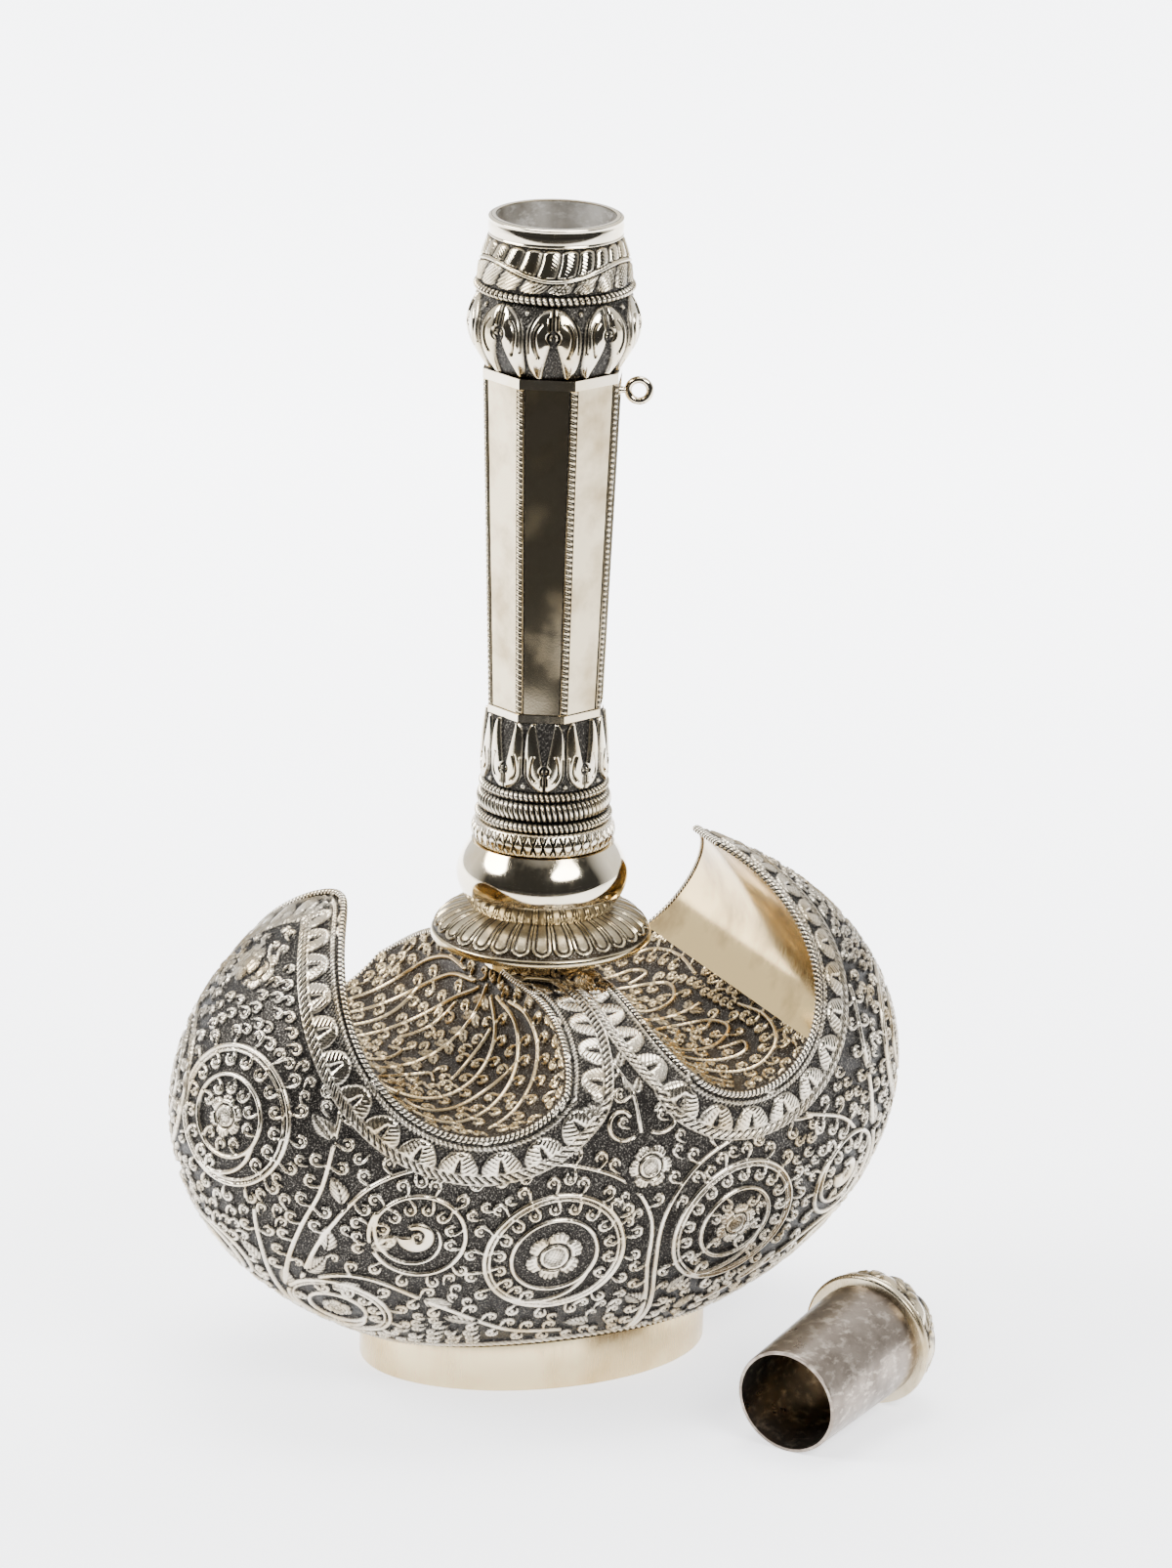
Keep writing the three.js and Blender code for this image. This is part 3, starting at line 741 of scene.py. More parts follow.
def draw_body_chasing():
    chasing = BodyRelief()
    for mirror in (1, -1):
        paths = []
        for knots, width in STEMS:
            paths.append(smooth_path([in_radians((a * mirror, b)) for a, b in knots], STEM_STEP))
            chasing.stroke(paths[-1], width, taper=0.35)
        for place in MEDALLIONS:
            draw_medallion(chasing, place, mirror)
        for place in SCROLLS:
            draw_scroll(chasing, place, mirror)
        for lon, lat, size in ROSETTES:
            at = in_radians((lon * mirror, lat))
            chasing.rosette(at, size + 1, size, clear=size + 1.2)
        draw_ridge_vine(chasing, mirror)
        draw_fan_leaves(chasing, mirror)
        for path in paths:
            chasing.curls_along(path, 3.4, 1.22, 6.0)
    draw_scoop_borders(chasing)
    draw_foot_border(chasing)
    fill_with_buds(chasing, LOWEST + 0.05, math.radians(80), 4.3)
    return chasing


# Half of a scoop's floor: stems from their root by the saddle, in millimetres across and along
# the bore
FLOOR_STEMS = (
    ((-25, -4), (-17, -15), (-4, -23), (10, -25), (19, -19), (17, -10), (9, -6.5), (2, -9),
     (3, -14)),
    ((-26, -7), (-23, -21), (-13, -33), (1, -41), (14, -44), (24, -38), (27.5, -26), (26, -13)),
    ((-15, -31), (-4, -31), (8, -34), (16, -34), (18, -29), (12, -27)),
    ((-18, -11), (-9, -13), (-1, -17)),
    ((-27, -14), (-27, -24), (-23, -34), (-16, -41), (-6, -47), (4, -51)),
)


def draw_floor_chasing():
    """Nested drop-shaped vines with buds between them, the same towards the front and the back."""
    sheet = SheetRelief(*FLOOR_MAP)
    paths = []
    for knots in FLOOR_STEMS:
        for mirror in (1, -1):
            paths.append(smooth_path([(x, y * mirror) for x, y in knots], FLOOR_STEP))
            sheet.stroke(paths[-1], 0.7, taper=0.25)
    sheet.stroke(smooth_path([(-27, 0), (-10, 0), (8, 0), (20, 0)], FLOOR_STEP), 0.7, taper=0.4)
    for k in range(9):
        for side in (1, -1):
            sheet.hatched_leaf((-24 + 5 * k, 0.4 * side), 7, 5.6, 1.8, 0.75 * side, side)
    for path in paths:
        sheet.curls_along(path, 3.2, 1.2, 5.8)
    rng = np.random.default_rng(SEED)
    for y in np.arange(-60, 60, 1.7):
        for x in np.arange(-31, 31, 3.4):
            size = 1.02 + 0.24 * rng.random()
            at = (x + 2 * rng.random(), y)
            if sheet.is_bare(at, 1.55 * size):
                sheet.bud(at, size, math.atan2(y, x + 30) + 0.5 * rng.random())
    return sheet


# Meshes


def edit_mesh(mesh, edit):
    """Runs an edit on a mesh's bmesh."""
    bm = bmesh.new()
    bm.from_mesh(mesh)
    edit(bm)
    bm.to_mesh(mesh)
    bm.free()


def grid_mesh(name, across, along, place, closed=False):
    """A mesh from a flat grid whose corners are moved by place(u, v), with u and v from 0 to 1."""
    mesh = bpy.data.meshes.new(name)
    cells = {"x_segments": across, "y_segments": along, "size": 0.5}
    edit_mesh(mesh, lambda bm: bmesh.ops.create_grid(bm, **cells))
    flat = np.empty(len(mesh.vertices) * 3)
    mesh.vertices.foreach_get("co", flat)
    flat = flat.reshape(-1, 3)
    points, relief = place(flat[:, 0] + 0.5, flat[:, 1] + 0.5)
    points = np.asarray(points, float) * MM
    points[:, 1] += AXIS_Y
    mesh.vertices.foreach_set("co", points.ravel())
    if relief is not None:
        values = np.asarray(relief, np.float32)
        mesh.attributes.new("relief", "FLOAT", "POINT").data.foreach_set("value", values)
    mesh.update()
    if closed:
        edit_mesh(mesh, lambda bm: bmesh.ops.remove_doubles(bm, verts=bm.verts, dist=1e-6))
    mesh.shade_smooth()
    return mesh


def finish_piece(name, mesh, body, slot, replaces=()):
    piece = bpy.data.objects.new(name, mesh)
    bpy.context.scene.collection.objects.link(piece)
    mesh.materials.append(MATERIALS[slot])
    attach(piece, body)
    if replaces:
        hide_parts(*replaces)
    return piece


def closed_piece(name, across, along, place, slot, replaces=(), body="flask", crisp=None):
    """A piece from a grid whose open edges meet; edges sharper than crisp degrees stay crisp."""
    mesh = grid_mesh(name, across, along, place, closed=True)
    if crisp:
        mesh.set_sharp_from_angle(angle=math.radians(crisp))
    return finish_piece(name, mesh, body, slot, replaces)


def displaced_body(chasing, lon, lat):
    """Chased surface, its relief from 0 to 1, and which corners fall inside a scoop."""
    point, _, _, normal = body_frame(lon, lat)
    distance, (side, offset, radius, height) = nearest_scoop(point)
    across = side * point[:, 0] - offset
    up = point[:, 2] - height
    limit = np.where(side > 0, RIGHT_TIP, LEFT_TIP)
    inside = (distance < 0) | ((across > 0) & (up > 0) & (across < radius * np.cos(limit)))
    angle = np.arctan2(up, across)
    angle = np.where(up > 0, np.minimum(angle, limit), angle)
    x, z = on_bore(offset, height, radius, angle)
    rim = np.stack([side * x, np.sign(point[:, 1]) * rim_depth(x, z, offset), z], axis=-1)
    point = np.where(inside[:, None], rim, point)
    relief = np.where(inside, 0, chasing.sample(lon, lat))
    return point + normal * (SKIN_LIFT + RELIEF * relief)[:, None], relief, inside


def chased_skin(name, node, chasing, start, end, low, high, pitch):
    """One patch of chased silver over the body's plain wall."""
    fine = np.linspace(math.radians(start), math.radians(end), ARC_SAMPLES)
    speed = np.hypot(BODY_LENGTH * np.sin(fine), BODY_DEPTH * np.cos(fine))
    length = np.concatenate([[0], np.cumsum((speed[1:] + speed[:-1]) / 2 * np.diff(fine))])
    columns = int(length[-1] / pitch)
    rows = int((high - low) * 0.5 * (BODY_DEPTH + BODY_HEIGHT) / pitch)
    inside = []

    def place(u, v):
        lon = np.interp(u * length[-1], length, fine)
        points, relief, hidden = displaced_body(chasing, lon, low + (high - low) * v)
        inside.extend(hidden)
        return points, relief

    def drop_hidden(bm):
        doomed = [f for f in bm.faces if all(inside[v.index] for v in f.verts)]
        bmesh.ops.delete(bm, geom=doomed, context="FACES")

    mesh = grid_mesh(name, columns, rows, place)
    edit_mesh(mesh, drop_hidden)
    finish_piece(name, mesh, "flask", "chased_body", (node,))


def lining_sheet(name, node, scoop, first, last, relief_map, slot, pitch):
    """A smooth or chased sheet lining a scoop between two angles round its bore."""
    side, offset, radius, height = scoop
    columns = int(radius * (last - first) / pitch)
    rows = int(FLOOR_RUN / pitch)

    def place(u, v):
        angle = first + (last - first) * u
        depth = rim_depth(*on_bore(offset, height, radius, angle), offset)
        y = (2 * v - 1) * depth * side
        relief = 0 * u
        if relief_map is not None:
            relief = relief_map.sample(radius * (angle - FLOOR_MIDDLE), y)
            relief = relief * step_between(depth - np.abs(y), 0.6, 1.6)
        x, z = on_bore(offset, height, radius - SKIN_LIFT - FLOOR_RELIEF * relief, angle)
        return np.stack([side * x, y, z], axis=-1), relief

    finish_piece(name, grid_mesh(name, columns, rows, place), "flask", slot, (node,))


def ridge_edge(scoop):
    """Angle round a scoop's bore at which it meets the ridge between the scoops."""
    _, _, radius, height = scoop
    return math.pi + math.asin((height - SADDLE_TOP) / radius)


def scoop_rim(scoop, tip):
    """Closed run of points round a scoop's rim, the bore's angle and the length run at each."""
    angles = np.linspace(ridge_edge(scoop), 2 * math.pi + tip, 1500)
    front = rim_point(scoop, angles)
    keep = front[:, 1] < -0.6
    front, angles = front[keep], angles[keep]
    back = front[::-1] * np.array([1, -1, 1])
    across = np.linspace(-1, 1, BAR_POINTS + 2)[1:-1, None]
    tip_bar = front[-1] * np.array([1, 0, 1]) + np.array([0, -front[-1, 1], 0]) * across
    ridge_bar = front[0] * np.array([1, 0, 1]) + np.array([0, front[0, 1], 0]) * across
    points = np.concatenate([front, tip_bar, back, ridge_bar])
    bars = [np.full(BAR_POINTS, angles[k]) for k in (-1, 0)]
    turns = np.concatenate([angles, bars[0], angles[::-1], bars[1]])
    steps = np.linalg.norm(np.diff(np.concatenate([points, points[:1]]), axis=0), axis=1)
    return points, turns, np.concatenate([[0], np.cumsum(steps)])


def rim_rope(name, scoop, tip, radius, pitch):
    """A twisted bead all round a scoop's rim."""
    points, turns, lengths = scoop_rim(scoop, tip)
    closed = np.concatenate([points, points[:1]])
    turns = np.concatenate([turns, turns[:1]])
    twists = int(lengths[-1] / pitch)
    count = twists * 5

    def along_rim(s):
        return np.stack([np.interp(s, lengths, closed[:, k]) for k in range(3)], axis=-1)

    def place(u, v):
        s = (u % 1.0) * lengths[-1]
        centre = along_rim(s)
        ahead, behind = (s + 0.6) % lengths[-1], (s - 0.6) % lengths[-1]
        tangent = unit(along_rim(ahead) - along_rim(behind))
        angle = np.interp(s, lengths, turns)
        out = np.stack([scoop[0] * np.cos(angle), 0 * angle, np.sin(angle)], axis=-1)
        side = np.cross(out, tangent)
        around = 2 * math.pi * v
        strand = np.abs(np.cos(around - math.pi * twists * u)) ** 1.3
        size = radius * (0.68 + 0.32 * strand)
        centre = centre + out * 0.45
        away = out * np.cos(around)[:, None] + side * np.sin(around)[:, None]
        return centre + away * size[:, None], strand

    closed_piece(name, count, 12, place, "chased_body")


def revolved(
    name, node, slot, side, bores, relief=None, depth=0.0, columns=180, body="flask", carry=None
):
    """A closed ring turned about an axis: a worked side from foot to head, and a plain bore."""
    radii, heights = (np.array(values, float) for values in zip(*side))
    rows = len(side) - 1
    stations = rows + 3

    def place(u, v):
        k = np.round(v * stations).astype(int)
        angle = 2 * math.pi * u
        row = np.where(k == stations, 0, np.clip(k, 0, rows))
        worked = np.ones_like(u)
        if relief is not None:
            worked = relief(angle, row / rows, heights[row] - heights[0])
        radius = radii[row] - depth * (1 - worked)
        height = heights[row]
        for station, bore, end in ((rows + 1, bores[1], rows), (rows + 2, bores[0], 0)):
            radius = np.where(k == station, bore, radius)
            height = np.where(k == station, heights[end], height)
            worked = np.where(k == station, 1.0, worked)
        points = polar(radius, angle, height)
        if carry is not None:
            points = carry(points)
        return points, worked

    closed_piece(name, columns, stations, place, slot, (node,), body, 55)


def node_levels(node):
    """Bottom and top of a CAD node in millimetres."""
    low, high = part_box(node)
    return low.z / MM, high.z / MM


def bulging(node, foot, head, reach, rows):
    """Side of a ring that bulges from one radius to another over a node's height."""
    low, high = node_levels(node)
    side = []
    for k in range(rows + 1):
        t = k / rows
        radius = foot + (head - foot) * t + reach * math.sin(math.pi * t)
        side.append((radius, low + (high - low) * t))
    return side


# Materials


def add_node(tree, kind, settings=None, links=None):
    """A node with its values set and its inputs linked."""
    node = tree.nodes.new(kind)
    for key, value in (settings or {}).items():
        if isinstance(key, str) and hasattr(node, key) and key not in node.inputs:
            setattr(node, key, value)
        else:
            node.inputs[key].default_value = value
    for key, source in (links or {}).items():
        tree.links.new(source, node.inputs[key])
    return node


def new_metal(name):
    material = bpy.data.materials.new(name)
    material.use_nodes = True
    tree = material.node_tree
    shader = tree.nodes["Principled BSDF"]
    shader.inputs["Metallic"].default_value = 1.0
    return material, tree, shader


def dress(tree, shader, tint, rough, bump):
    """Gives a metal its colour, roughness and grain."""
    sockets = {"Base Color": tint, "Roughness": rough, "Normal": bump.outputs["Normal"]}
    for socket, source in sockets.items():
        tree.links.new(source, shader.inputs[socket])


def ramp_between(tree, source, low, high, first=0.0, last=1.0):
    """A value carried from one range to another, held at its ends."""
    ends = {"From Min": low, "From Max": high, "To Min": first, "To Max": last}
    return add_node(tree, "ShaderNodeMapRange", ends, {"Value": source}).outputs["Result"]


def combine(tree, operation, first, second):
    """Two values joined by a mathematical operation."""
    links = {0: first, 1: second}
    return add_node(tree, "ShaderNodeMath", {"operation": operation}, links).outputs[0]


def bump_of(tree, height, depth_mm, strength=None, links=None):
    """A bump of a depth in millimetres, with a fixed strength or a linked one."""
    settings = {"Distance": depth_mm * MM}
    if strength is not None:
        settings["Strength"] = strength
    return add_node(tree, "ShaderNodeBump", settings, {"Height": height, **(links or {})})


def mix_colors(tree, factor, first, second):
    node = add_node(tree, "ShaderNodeMix", {"data_type": "RGBA"})
    tree.links.new(factor, node.inputs[0])
    for socket, value in ((node.inputs[6], first), (node.inputs[7], second)):
        if isinstance(value, str):
            socket.default_value = hex_color(value)
        else:
            tree.links.new(value, socket)
    return node.outputs[2]


def noise(tree, size_mm, detail=4.0, roughness=0.55, stretch=None):
    """Noise whose features are about a size in millimetres."""
    coords = add_node(tree, "ShaderNodeTexCoord").outputs["Object"]
    if stretch:
        mapping = add_node(tree, "ShaderNodeMapping", {"Scale": stretch}, {"Vector": coords})
        coords = mapping.outputs["Vector"]
    settings = {"Scale": 1 / (size_mm * MM), "Detail": detail, "Roughness": roughness}
    return add_node(tree, "ShaderNodeTexNoise", settings, {"Vector": coords}).outputs["Fac"]


def chased_silver(name, high, ground, tarnish, polish=0.2, grain_depth=0.1, wave=0.0):
    """Silver worked in relief: bright rubbed tops over a stippled ground greyed with sulphide."""
    material, tree, shader = new_metal(name)
    relief = add_node(tree, "ShaderNodeAttribute", {"attribute_name": "relief"}).outputs["Fac"]
    patches = noise(tree, 12.0)
    grain = noise(tree, 0.45, 3.0)
    specks = ramp_between(tree, noise(tree, 0.4, 2.0), 0.54, 0.72)
    settings = {"operation": "MULTIPLY_ADD", 1: 0.3}
    shifted = add_node(tree, "ShaderNodeMath", settings, {0: grain, 2: relief})
    worn = ramp_between(tree, shifted.outputs[0], 0.5, 0.98)
    warm = mix_colors(tree, ramp_between(tree, patches, 0.42, 0.7), high, tarnish)
    dark = mix_colors(tree, specks, ground, "#77736b")
    haze = ramp_between(tree, patches, 0.45, 0.7, polish, polish + (0.12 if wave else 0.06))
    links = {"Value": worn, "To Max": haze}
    smooth = add_node(tree, "ShaderNodeMapRange", {"To Min": 0.5}, links).outputs["Result"]
    rough = ramp_between(tree, worn, 0, 1, 0.6, 0.12)
    bump = bump_of(tree, grain, grain_depth, links={"Strength": rough})
    if wave:
        hammered = noise(tree, 16.0, 1.0, 0.4, (1.0, 1.0, 0.45))
        swell = bump_of(tree, hammered, wave, 1.0)
        tree.links.new(swell.outputs["Normal"], bump.inputs["Normal"])
    dress(tree, shader, mix_colors(tree, worn, dark, warm), smooth, bump)
    return material


def polished_silver(name, color, tarnish, rough=0.13, blotch=14.0):
    """Burnished silver: mirror-like, with hair scratches and faint warm tarnish."""
    material, tree, shader = new_metal(name)
    patches = noise(tree, blotch)
    scratches = noise(tree, 0.8, 2.0, 0.5, (1.0, 1.0, 0.06))
    tint = mix_colors(tree, ramp_between(tree, patches, 0.45, 0.75), color, tarnish)
    smear = combine(tree, "MULTIPLY", patches, scratches)
    bump = bump_of(tree, scratches, 0.04, 0.04)
    dress(tree, shader, tint, ramp_between(tree, smear, 0.12, 0.4, rough, rough + 0.1), bump)
    return material


def worn_silver(name, dark, middle, light, rough=(0.4, 0.26)):
    """Unpolished silver: warm grey, rubbed in streaks and blotched with tarnish."""
    material, tree, shader = new_metal(name)
    patches = noise(tree, 9.0, 6.0, 0.6)
    streaks = noise(tree, 1.6, 4.0, 0.6, (0.5, 0.5, 1.0))
    tint = mix_colors(tree, ramp_between(tree, patches, 0.35, 0.65), dark, middle)
    tint = mix_colors(tree, ramp_between(tree, streaks, 0.52, 0.75), tint, light)
    bump = bump_of(tree, streaks, 0.06, 0.15)
    dress(tree, shader, tint, ramp_between(tree, patches, 0.35, 0.65, *rough), bump)
    return material


# Finishes by slot: how each is made, its material's name, its colours and its further values
FINISHES = {
    "chased_body": (chased_silver, "chased_oxidised_silver", "#dcd2bf", "#211f1d", "#bda985", 0.16),
    "chased_floor": (chased_silver, "chased_gilt_floor", "#cdb88f", "#211a12", "#9d8257", 0.18),
    "gilt_wall": (polished_silver, "burnished_gilt_wall", "#cdb27c", "#7d653c", 0.1, 20.0),
    "foot_gilt": (polished_silver, "satin_gilt_foot", "#dac69a", "#b89c6b", 0.2, 26.0),
    "polished_silver": (polished_silver, "burnished_silver", "#e0d5be", "#cbb78e", 0.05, 20.0),
    "petal_silver": (chased_silver, "chased_petal_silver", "#cbbc9b", "#2e271d", "#9d885f", 0.18),
    "rope_silver": (chased_silver, "twisted_silver", "#ded3bd", "#1c1b19", "#c0ad86", 0.14),
    "lotus_silver": (chased_silver, "chased_lotus_silver", "#ded4bf", "#2b2926", "#c6b48d", 0.08),
    "shaft_silver": (
        chased_silver, "burnished_shaft_silver", "#c4b699", "#24221f", "#9a8a6c", 0.07, 0.03, 0.6
    ),
    "worn_silver": (worn_silver, "tarnished_sleeve_silver", "#6b6157", "#90857a", "#bcb1a3"),
    "mouth": (worn_silver, "etched_mouth_silver", "#8b857c", "#c9c6c0", "#e4e2de", (0.55, 0.45)),
    "cap_silver": (polished_silver, "satin_cap_silver", "#c6b99f", "#97845f", 0.2),
    "cap_chased": (chased_silver, "chased_cap_silver", "#d0c3a8", "#27231d", "#a38d64"),
}
MATERIALS = {}


# Reliefs of the neck's bands, by angle in radians, height from 0 to 1 and height in millimetres

# Heading towards the camera, where a band's pattern starts
PHASE = math.radians(-114.9)

# Heading of the shaft's flat that carries the loop
LOOP_FLAT = math.radians(-29.4)


def rope_relief(count, slant):
    """Slanting strands of a twisted wire."""

    def relief(angle, t, _):
        strand = np.abs(np.cos(count * angle / 2 + slant * (t - 0.5))) ** 1.2
        return strand * step_between(from_edge(t), -0.02, 0.16)

    return relief


def cross_relief(count):
    """Crossed saw cuts between two plain edges."""

    def relief(angle, t, _):
        one = np.abs(np.sin(count * angle / 2 + 2.6 * (t - 0.5)))
        other = np.abs(np.sin(count * angle / 2 - 2.6 * (t - 0.5)))
        cut = 1 - step_between(np.minimum(one, other), 0.12, 0.4)
        middle = step_between(from_edge(t), 0.1, 0.18)
        edge = step_between(from_edge(t), 0.0, 0.05)
        return edge * (1 - cut * middle)

    return relief


def palmette(u, v, size, fall_length):
    """A round domed leaf: an eye with two slits over it, and two broad legs that part below it."""
    fall = -v / size
    share = np.clip(fall / fall_length, 0, 1)
    head = ridge(v, size)
    taper = np.sqrt(np.clip(1 - (share / 1.02) ** 5, 0, 1))
    outer = size * np.where(v > 0, head, 0.55 + 0.45 * taper)
    inner = size * 0.48 * share**0.9
    width = np.maximum((outer - inner) / 2, 1e-6)
    across = (np.abs(u) - (outer + inner) / 2) / width
    legs = ridge(across, 1) * (fall < fall_length)
    dome = ridge(u, np.maximum(outer, 1e-6)) * head**0.3
    dome = dome * step_between(np.abs(u) - inner + 0.02, 0, 0.14 * size)
    blend = step_between(v / size, -0.5, 0.3)
    shape = legs * (1 - blend) + dome * blend
    shape = np.where(shape > 0.02, 0.3 + 0.7 * shape, 0)
    eye = np.hypot(u, v) / size
    line = hollow(eye - 0.2, 0.05) + 0.7 * hollow(eye, 0.06)
    slits = hollow(np.abs(u) - 0.13 * size, 0.04 * size) * (v > 0.26 * size) * (v < 0.72 * size)
    second = np.hypot(u, np.where(v > 0, v, 0.55 * v)) / size
    bent = hollow(second - 0.66, 0.045) * (np.abs(u) > 0.28 * size)
    bent = bent * (fall < 0.75) * (v < 0.5 * size)
    rim = hollow(np.abs(u) - 0.88 * outer, 0.035 * size) * (v > -0.6 * size) * (v < 0.9 * size)
    return np.clip(shape - 0.8 * line - 0.8 * slits - 0.6 * bent - 0.45 * rim, 0, 1)


def lotus_relief(count, radius, height, centre, size, upward):
    """Palmettes side by side on a stippled ground, with seeds between their heads."""
    pitch = 2 * math.pi * radius / count
    room = (1 - centre if upward else centre) * height / size - 0.05

    def relief(angle, t, _):
        turn = (count * (angle - PHASE) / (2 * math.pi) + 0.5) % 1 - 0.5
        u = turn * pitch
        v = (t - centre) * height * (-1 if upward else 1)
        raised = np.maximum(palmette(u, v, size, room), palmette(pitch - np.abs(u), v, size, room))
        seed = ridge(np.hypot(np.abs(u) - pitch / 2, v - 0.8 * size), 0.8)
        stipple = 0.12 + 0.12 * np.sin(angle * radius * 5.3) * np.sin(v * 5.1)
        edge = step_between(from_edge(t) * height, 0.0, 0.3)
        return np.maximum(np.maximum(raised, 0.75 * seed), stipple) * edge

    return relief


def leaf_relief(radius, height):
    """A wavy stem with curved leaves leaning away above it and hatched ones below."""
    around = 2 * math.pi * radius
    waves = 3

    def relief(angle, t, _):
        along = (angle - PHASE) * radius
        v = (t - 0.5) * height
        stem = -1.6 * np.cos(2 * math.pi * waves * along / around) - 0.5
        off = np.abs(v - stem)
        above = v > stem
        upper = along - 0.5 * off + 0.035 * off**2
        lower = along + 0.9 * off - 0.06 * off**2
        lean = np.where(above, upper, lower)
        pitch = around / np.where(above, 23, 18)
        place = (lean / pitch) % 1
        blade = np.clip(np.sin(math.pi * place**0.75), 0, 1) ** 0.45
        hatch = 0.5 + 0.5 * np.cos((along + 1.2 * off) * 2 * math.pi / 1.15)
        veins = 1 - np.where(above, 0.08, 0.4) * hatch
        room = height * 0.5 - 0.2 - np.abs(v)
        tip = step_between(room - 2.6 * np.abs(place - 0.5) ** 2, -0.1, 0.5)
        clear = step_between(off, 0.55, 0.95)
        edge = step_between(from_edge(t) * height, 0.0, 0.3)
        return np.maximum(ridge(off, 0.6), blade * veins * tip * clear) * edge

    return relief


def petal_relief(count):
    """Hollow petals with raised edges, round at their outer ends, inside a plain thin rim."""

    def relief(angle, t, _):
        w = from_middle(count * angle / (2 * math.pi))
        s = 1 - t
        end = np.clip((s - 0.66) / 0.24, 0, None)
        q = np.hypot(w, end)
        border = hollow(q - 0.8, 0.13)
        floor = 0.6 * step_between(0.6 - q, -0.05, 0.25)
        rim = 0.85 * step_between(s, 0.95, 0.97)
        return np.maximum(np.maximum(border, floor), rim)

    return relief


def knop_relief(count):
    """Plain and burnished, with a row of small leaves round its foot."""

    def relief(angle, t, _):
        w = from_middle(count * angle / (2 * math.pi))
        leaves = 0.35 + 0.65 * step_between(1 - np.abs(w - 0.4 - 2.5 * t), 0.3, 0.75)
        return np.where(t < 0.13, leaves, 1.0)

    return relief


NECK_BORE = (5.8, 5.8)
SHAFT_BORE = (12.0, 12.0)
KNOP_RELIEF = knop_relief(count=62)
ROPE_RELIEF = rope_relief(count=80, slant=1.2)
CUP_RELIEF = lotus_relief(count=9, radius=15.6, height=18.1, centre=0.31, size=5.3, upward=True)
BULB_RELIEF = lotus_relief(count=9, radius=21.0, height=19.4, centre=0.61, size=7.1, upward=False)
LEAF_RELIEF = leaf_relief(radius=18.4, height=11.4)

# Rings of the neck from its foot up: piece, node and slot, then radii at foot and head with the
# bulge and its rows, bores, relief, the relief's depth and the columns round it
NECK_RINGS = (
    ("plain_stub", "neck_stub", "polished_silver",
     (14.6, 17, -1, 16), NECK_BORE, None, 0.0, 128),
    ("burnished_knop", "cushion_knop", "polished_silver",
     (18.2, 18.2, 3.7, 60), SHAFT_BORE, KNOP_RELIEF, 0.35, 620),
    ("crossed_ring", "hatched_ring", "rope_silver",
     (17.2, 17.2, 1.2, 26), SHAFT_BORE, cross_relief(44), 1.0, 704),
    ("lower_rope", "lower_rope_ring", "rope_silver",
     (16.6, 16.6, 1, 14), SHAFT_BORE, ROPE_RELIEF, 0.8, 800),
    ("twisted_band", "twist_band", "rope_silver",
     (16.2, 16.2, 1, 22), SHAFT_BORE, rope_relief(72, 2.2), 1.0, 720),
    ("upper_rope", "upper_rope_ring", "rope_silver",
     (15.7, 15.7, 1, 14), SHAFT_BORE, rope_relief(74, 1.2), 0.8, 740),
    ("lotus_cup", "lower_lotus_cup", "lotus_silver",
     (16.5, 15.3, 0.4, 64), SHAFT_BORE, CUP_RELIEF, 1.3, 460),
    ("lotus_bulb", "upper_lotus_bulb", "lotus_silver",
     (17.4, 19.6, 3.5, 68), (13.95, 14.4), BULB_RELIEF, 1.5, 560),
    ("bulb_rope", "bulb_rope_ring", "rope_silver",
     (19.4, 19.4, 1, 14), (14.4, 14.6), ROPE_RELIEF, 0.8, 800),
    ("acanthus_band", "leaf_band", "lotus_silver",
     (19.95, 16.95, 0.5, 46), (14.6, 15.0), LEAF_RELIEF, 1.1, 560),
)


class FLASK_PG_settings(bpy.types.PropertyGroup):
    """Colour and brightness of the studio."""

    floor_color: StringProperty(
        name="Floor colour", description="sRGB hex colour of the floor", default="#f6f6f8"
    )
    light_power: FloatProperty(
        name="Light power", description="Strength of the soft boxes", default=1.0, min=0
    )


class FLASK_OT_materials(bpy.types.Operator):
    """Makes the silver and gilt finishes and gives them to the plain pieces."""

    bl_idname = "flask.materials"
    bl_label = "Flask finishes"

    def execute(self, context):
        for slot, (make, *values) in FINISHES.items():
            MATERIALS[slot] = make(*values)
        slots = {s["node"]: s["material_slot"] for s in frame["record"]["subparts"]}
        for name, node in frame["nodes"].items():
            node.data.materials.clear()
            node.data.materials.append(MATERIALS[slots[name]])
        return {"FINISHED"}


class FLASK_OT_body(bpy.types.Operator):
    """Builds the chased skins over the bowl, horns and saddle."""

    bl_idname = "flask.body"
    bl_label = "Chased body"

    def execute(self, context):
        chasing = draw_body_chasing()
        seam = math.asin((BOWL_RIM - EQUATOR) / BODY_HEIGHT)
        top = math.radians(89.5)
        patches = [(f"bowl_front_{k}", 45 * k - 180, 45, FINE_PITCH) for k in range(4)]
        patches += [(f"bowl_back_{k}", 90 * k, 90, COARSE_PITCH) for k in range(2)]
        for name, start, sweep, pitch in patches:
            chased_skin(name, "body_bowl", chasing, start, start + sweep, LOWEST, seam, pitch)
        chased_skin("bowl_belly", "body_bowl", chasing, -180, 180, math.radians(-90), LOWEST, 3.0)
        for name, node, start, end, pitch in (
            ("left_horn_front", "left_horn_shell", -180, -113, FINE_PITCH),
            ("saddle_front", "saddle", -113, -67, FINE_PITCH),
            ("right_horn_front", "right_horn_shell", -67, 0, FINE_PITCH),
            ("right_horn_back", "right_horn_shell", 0, 67, COARSE_PITCH),
            ("saddle_back", "saddle", 67, 113, COARSE_PITCH),
            ("left_horn_back", "left_horn_shell", 113, 180, COARSE_PITCH),
        ):
            chased_skin(name, node, chasing, start, end, seam, top, pitch)
        return {"FINISHED"}


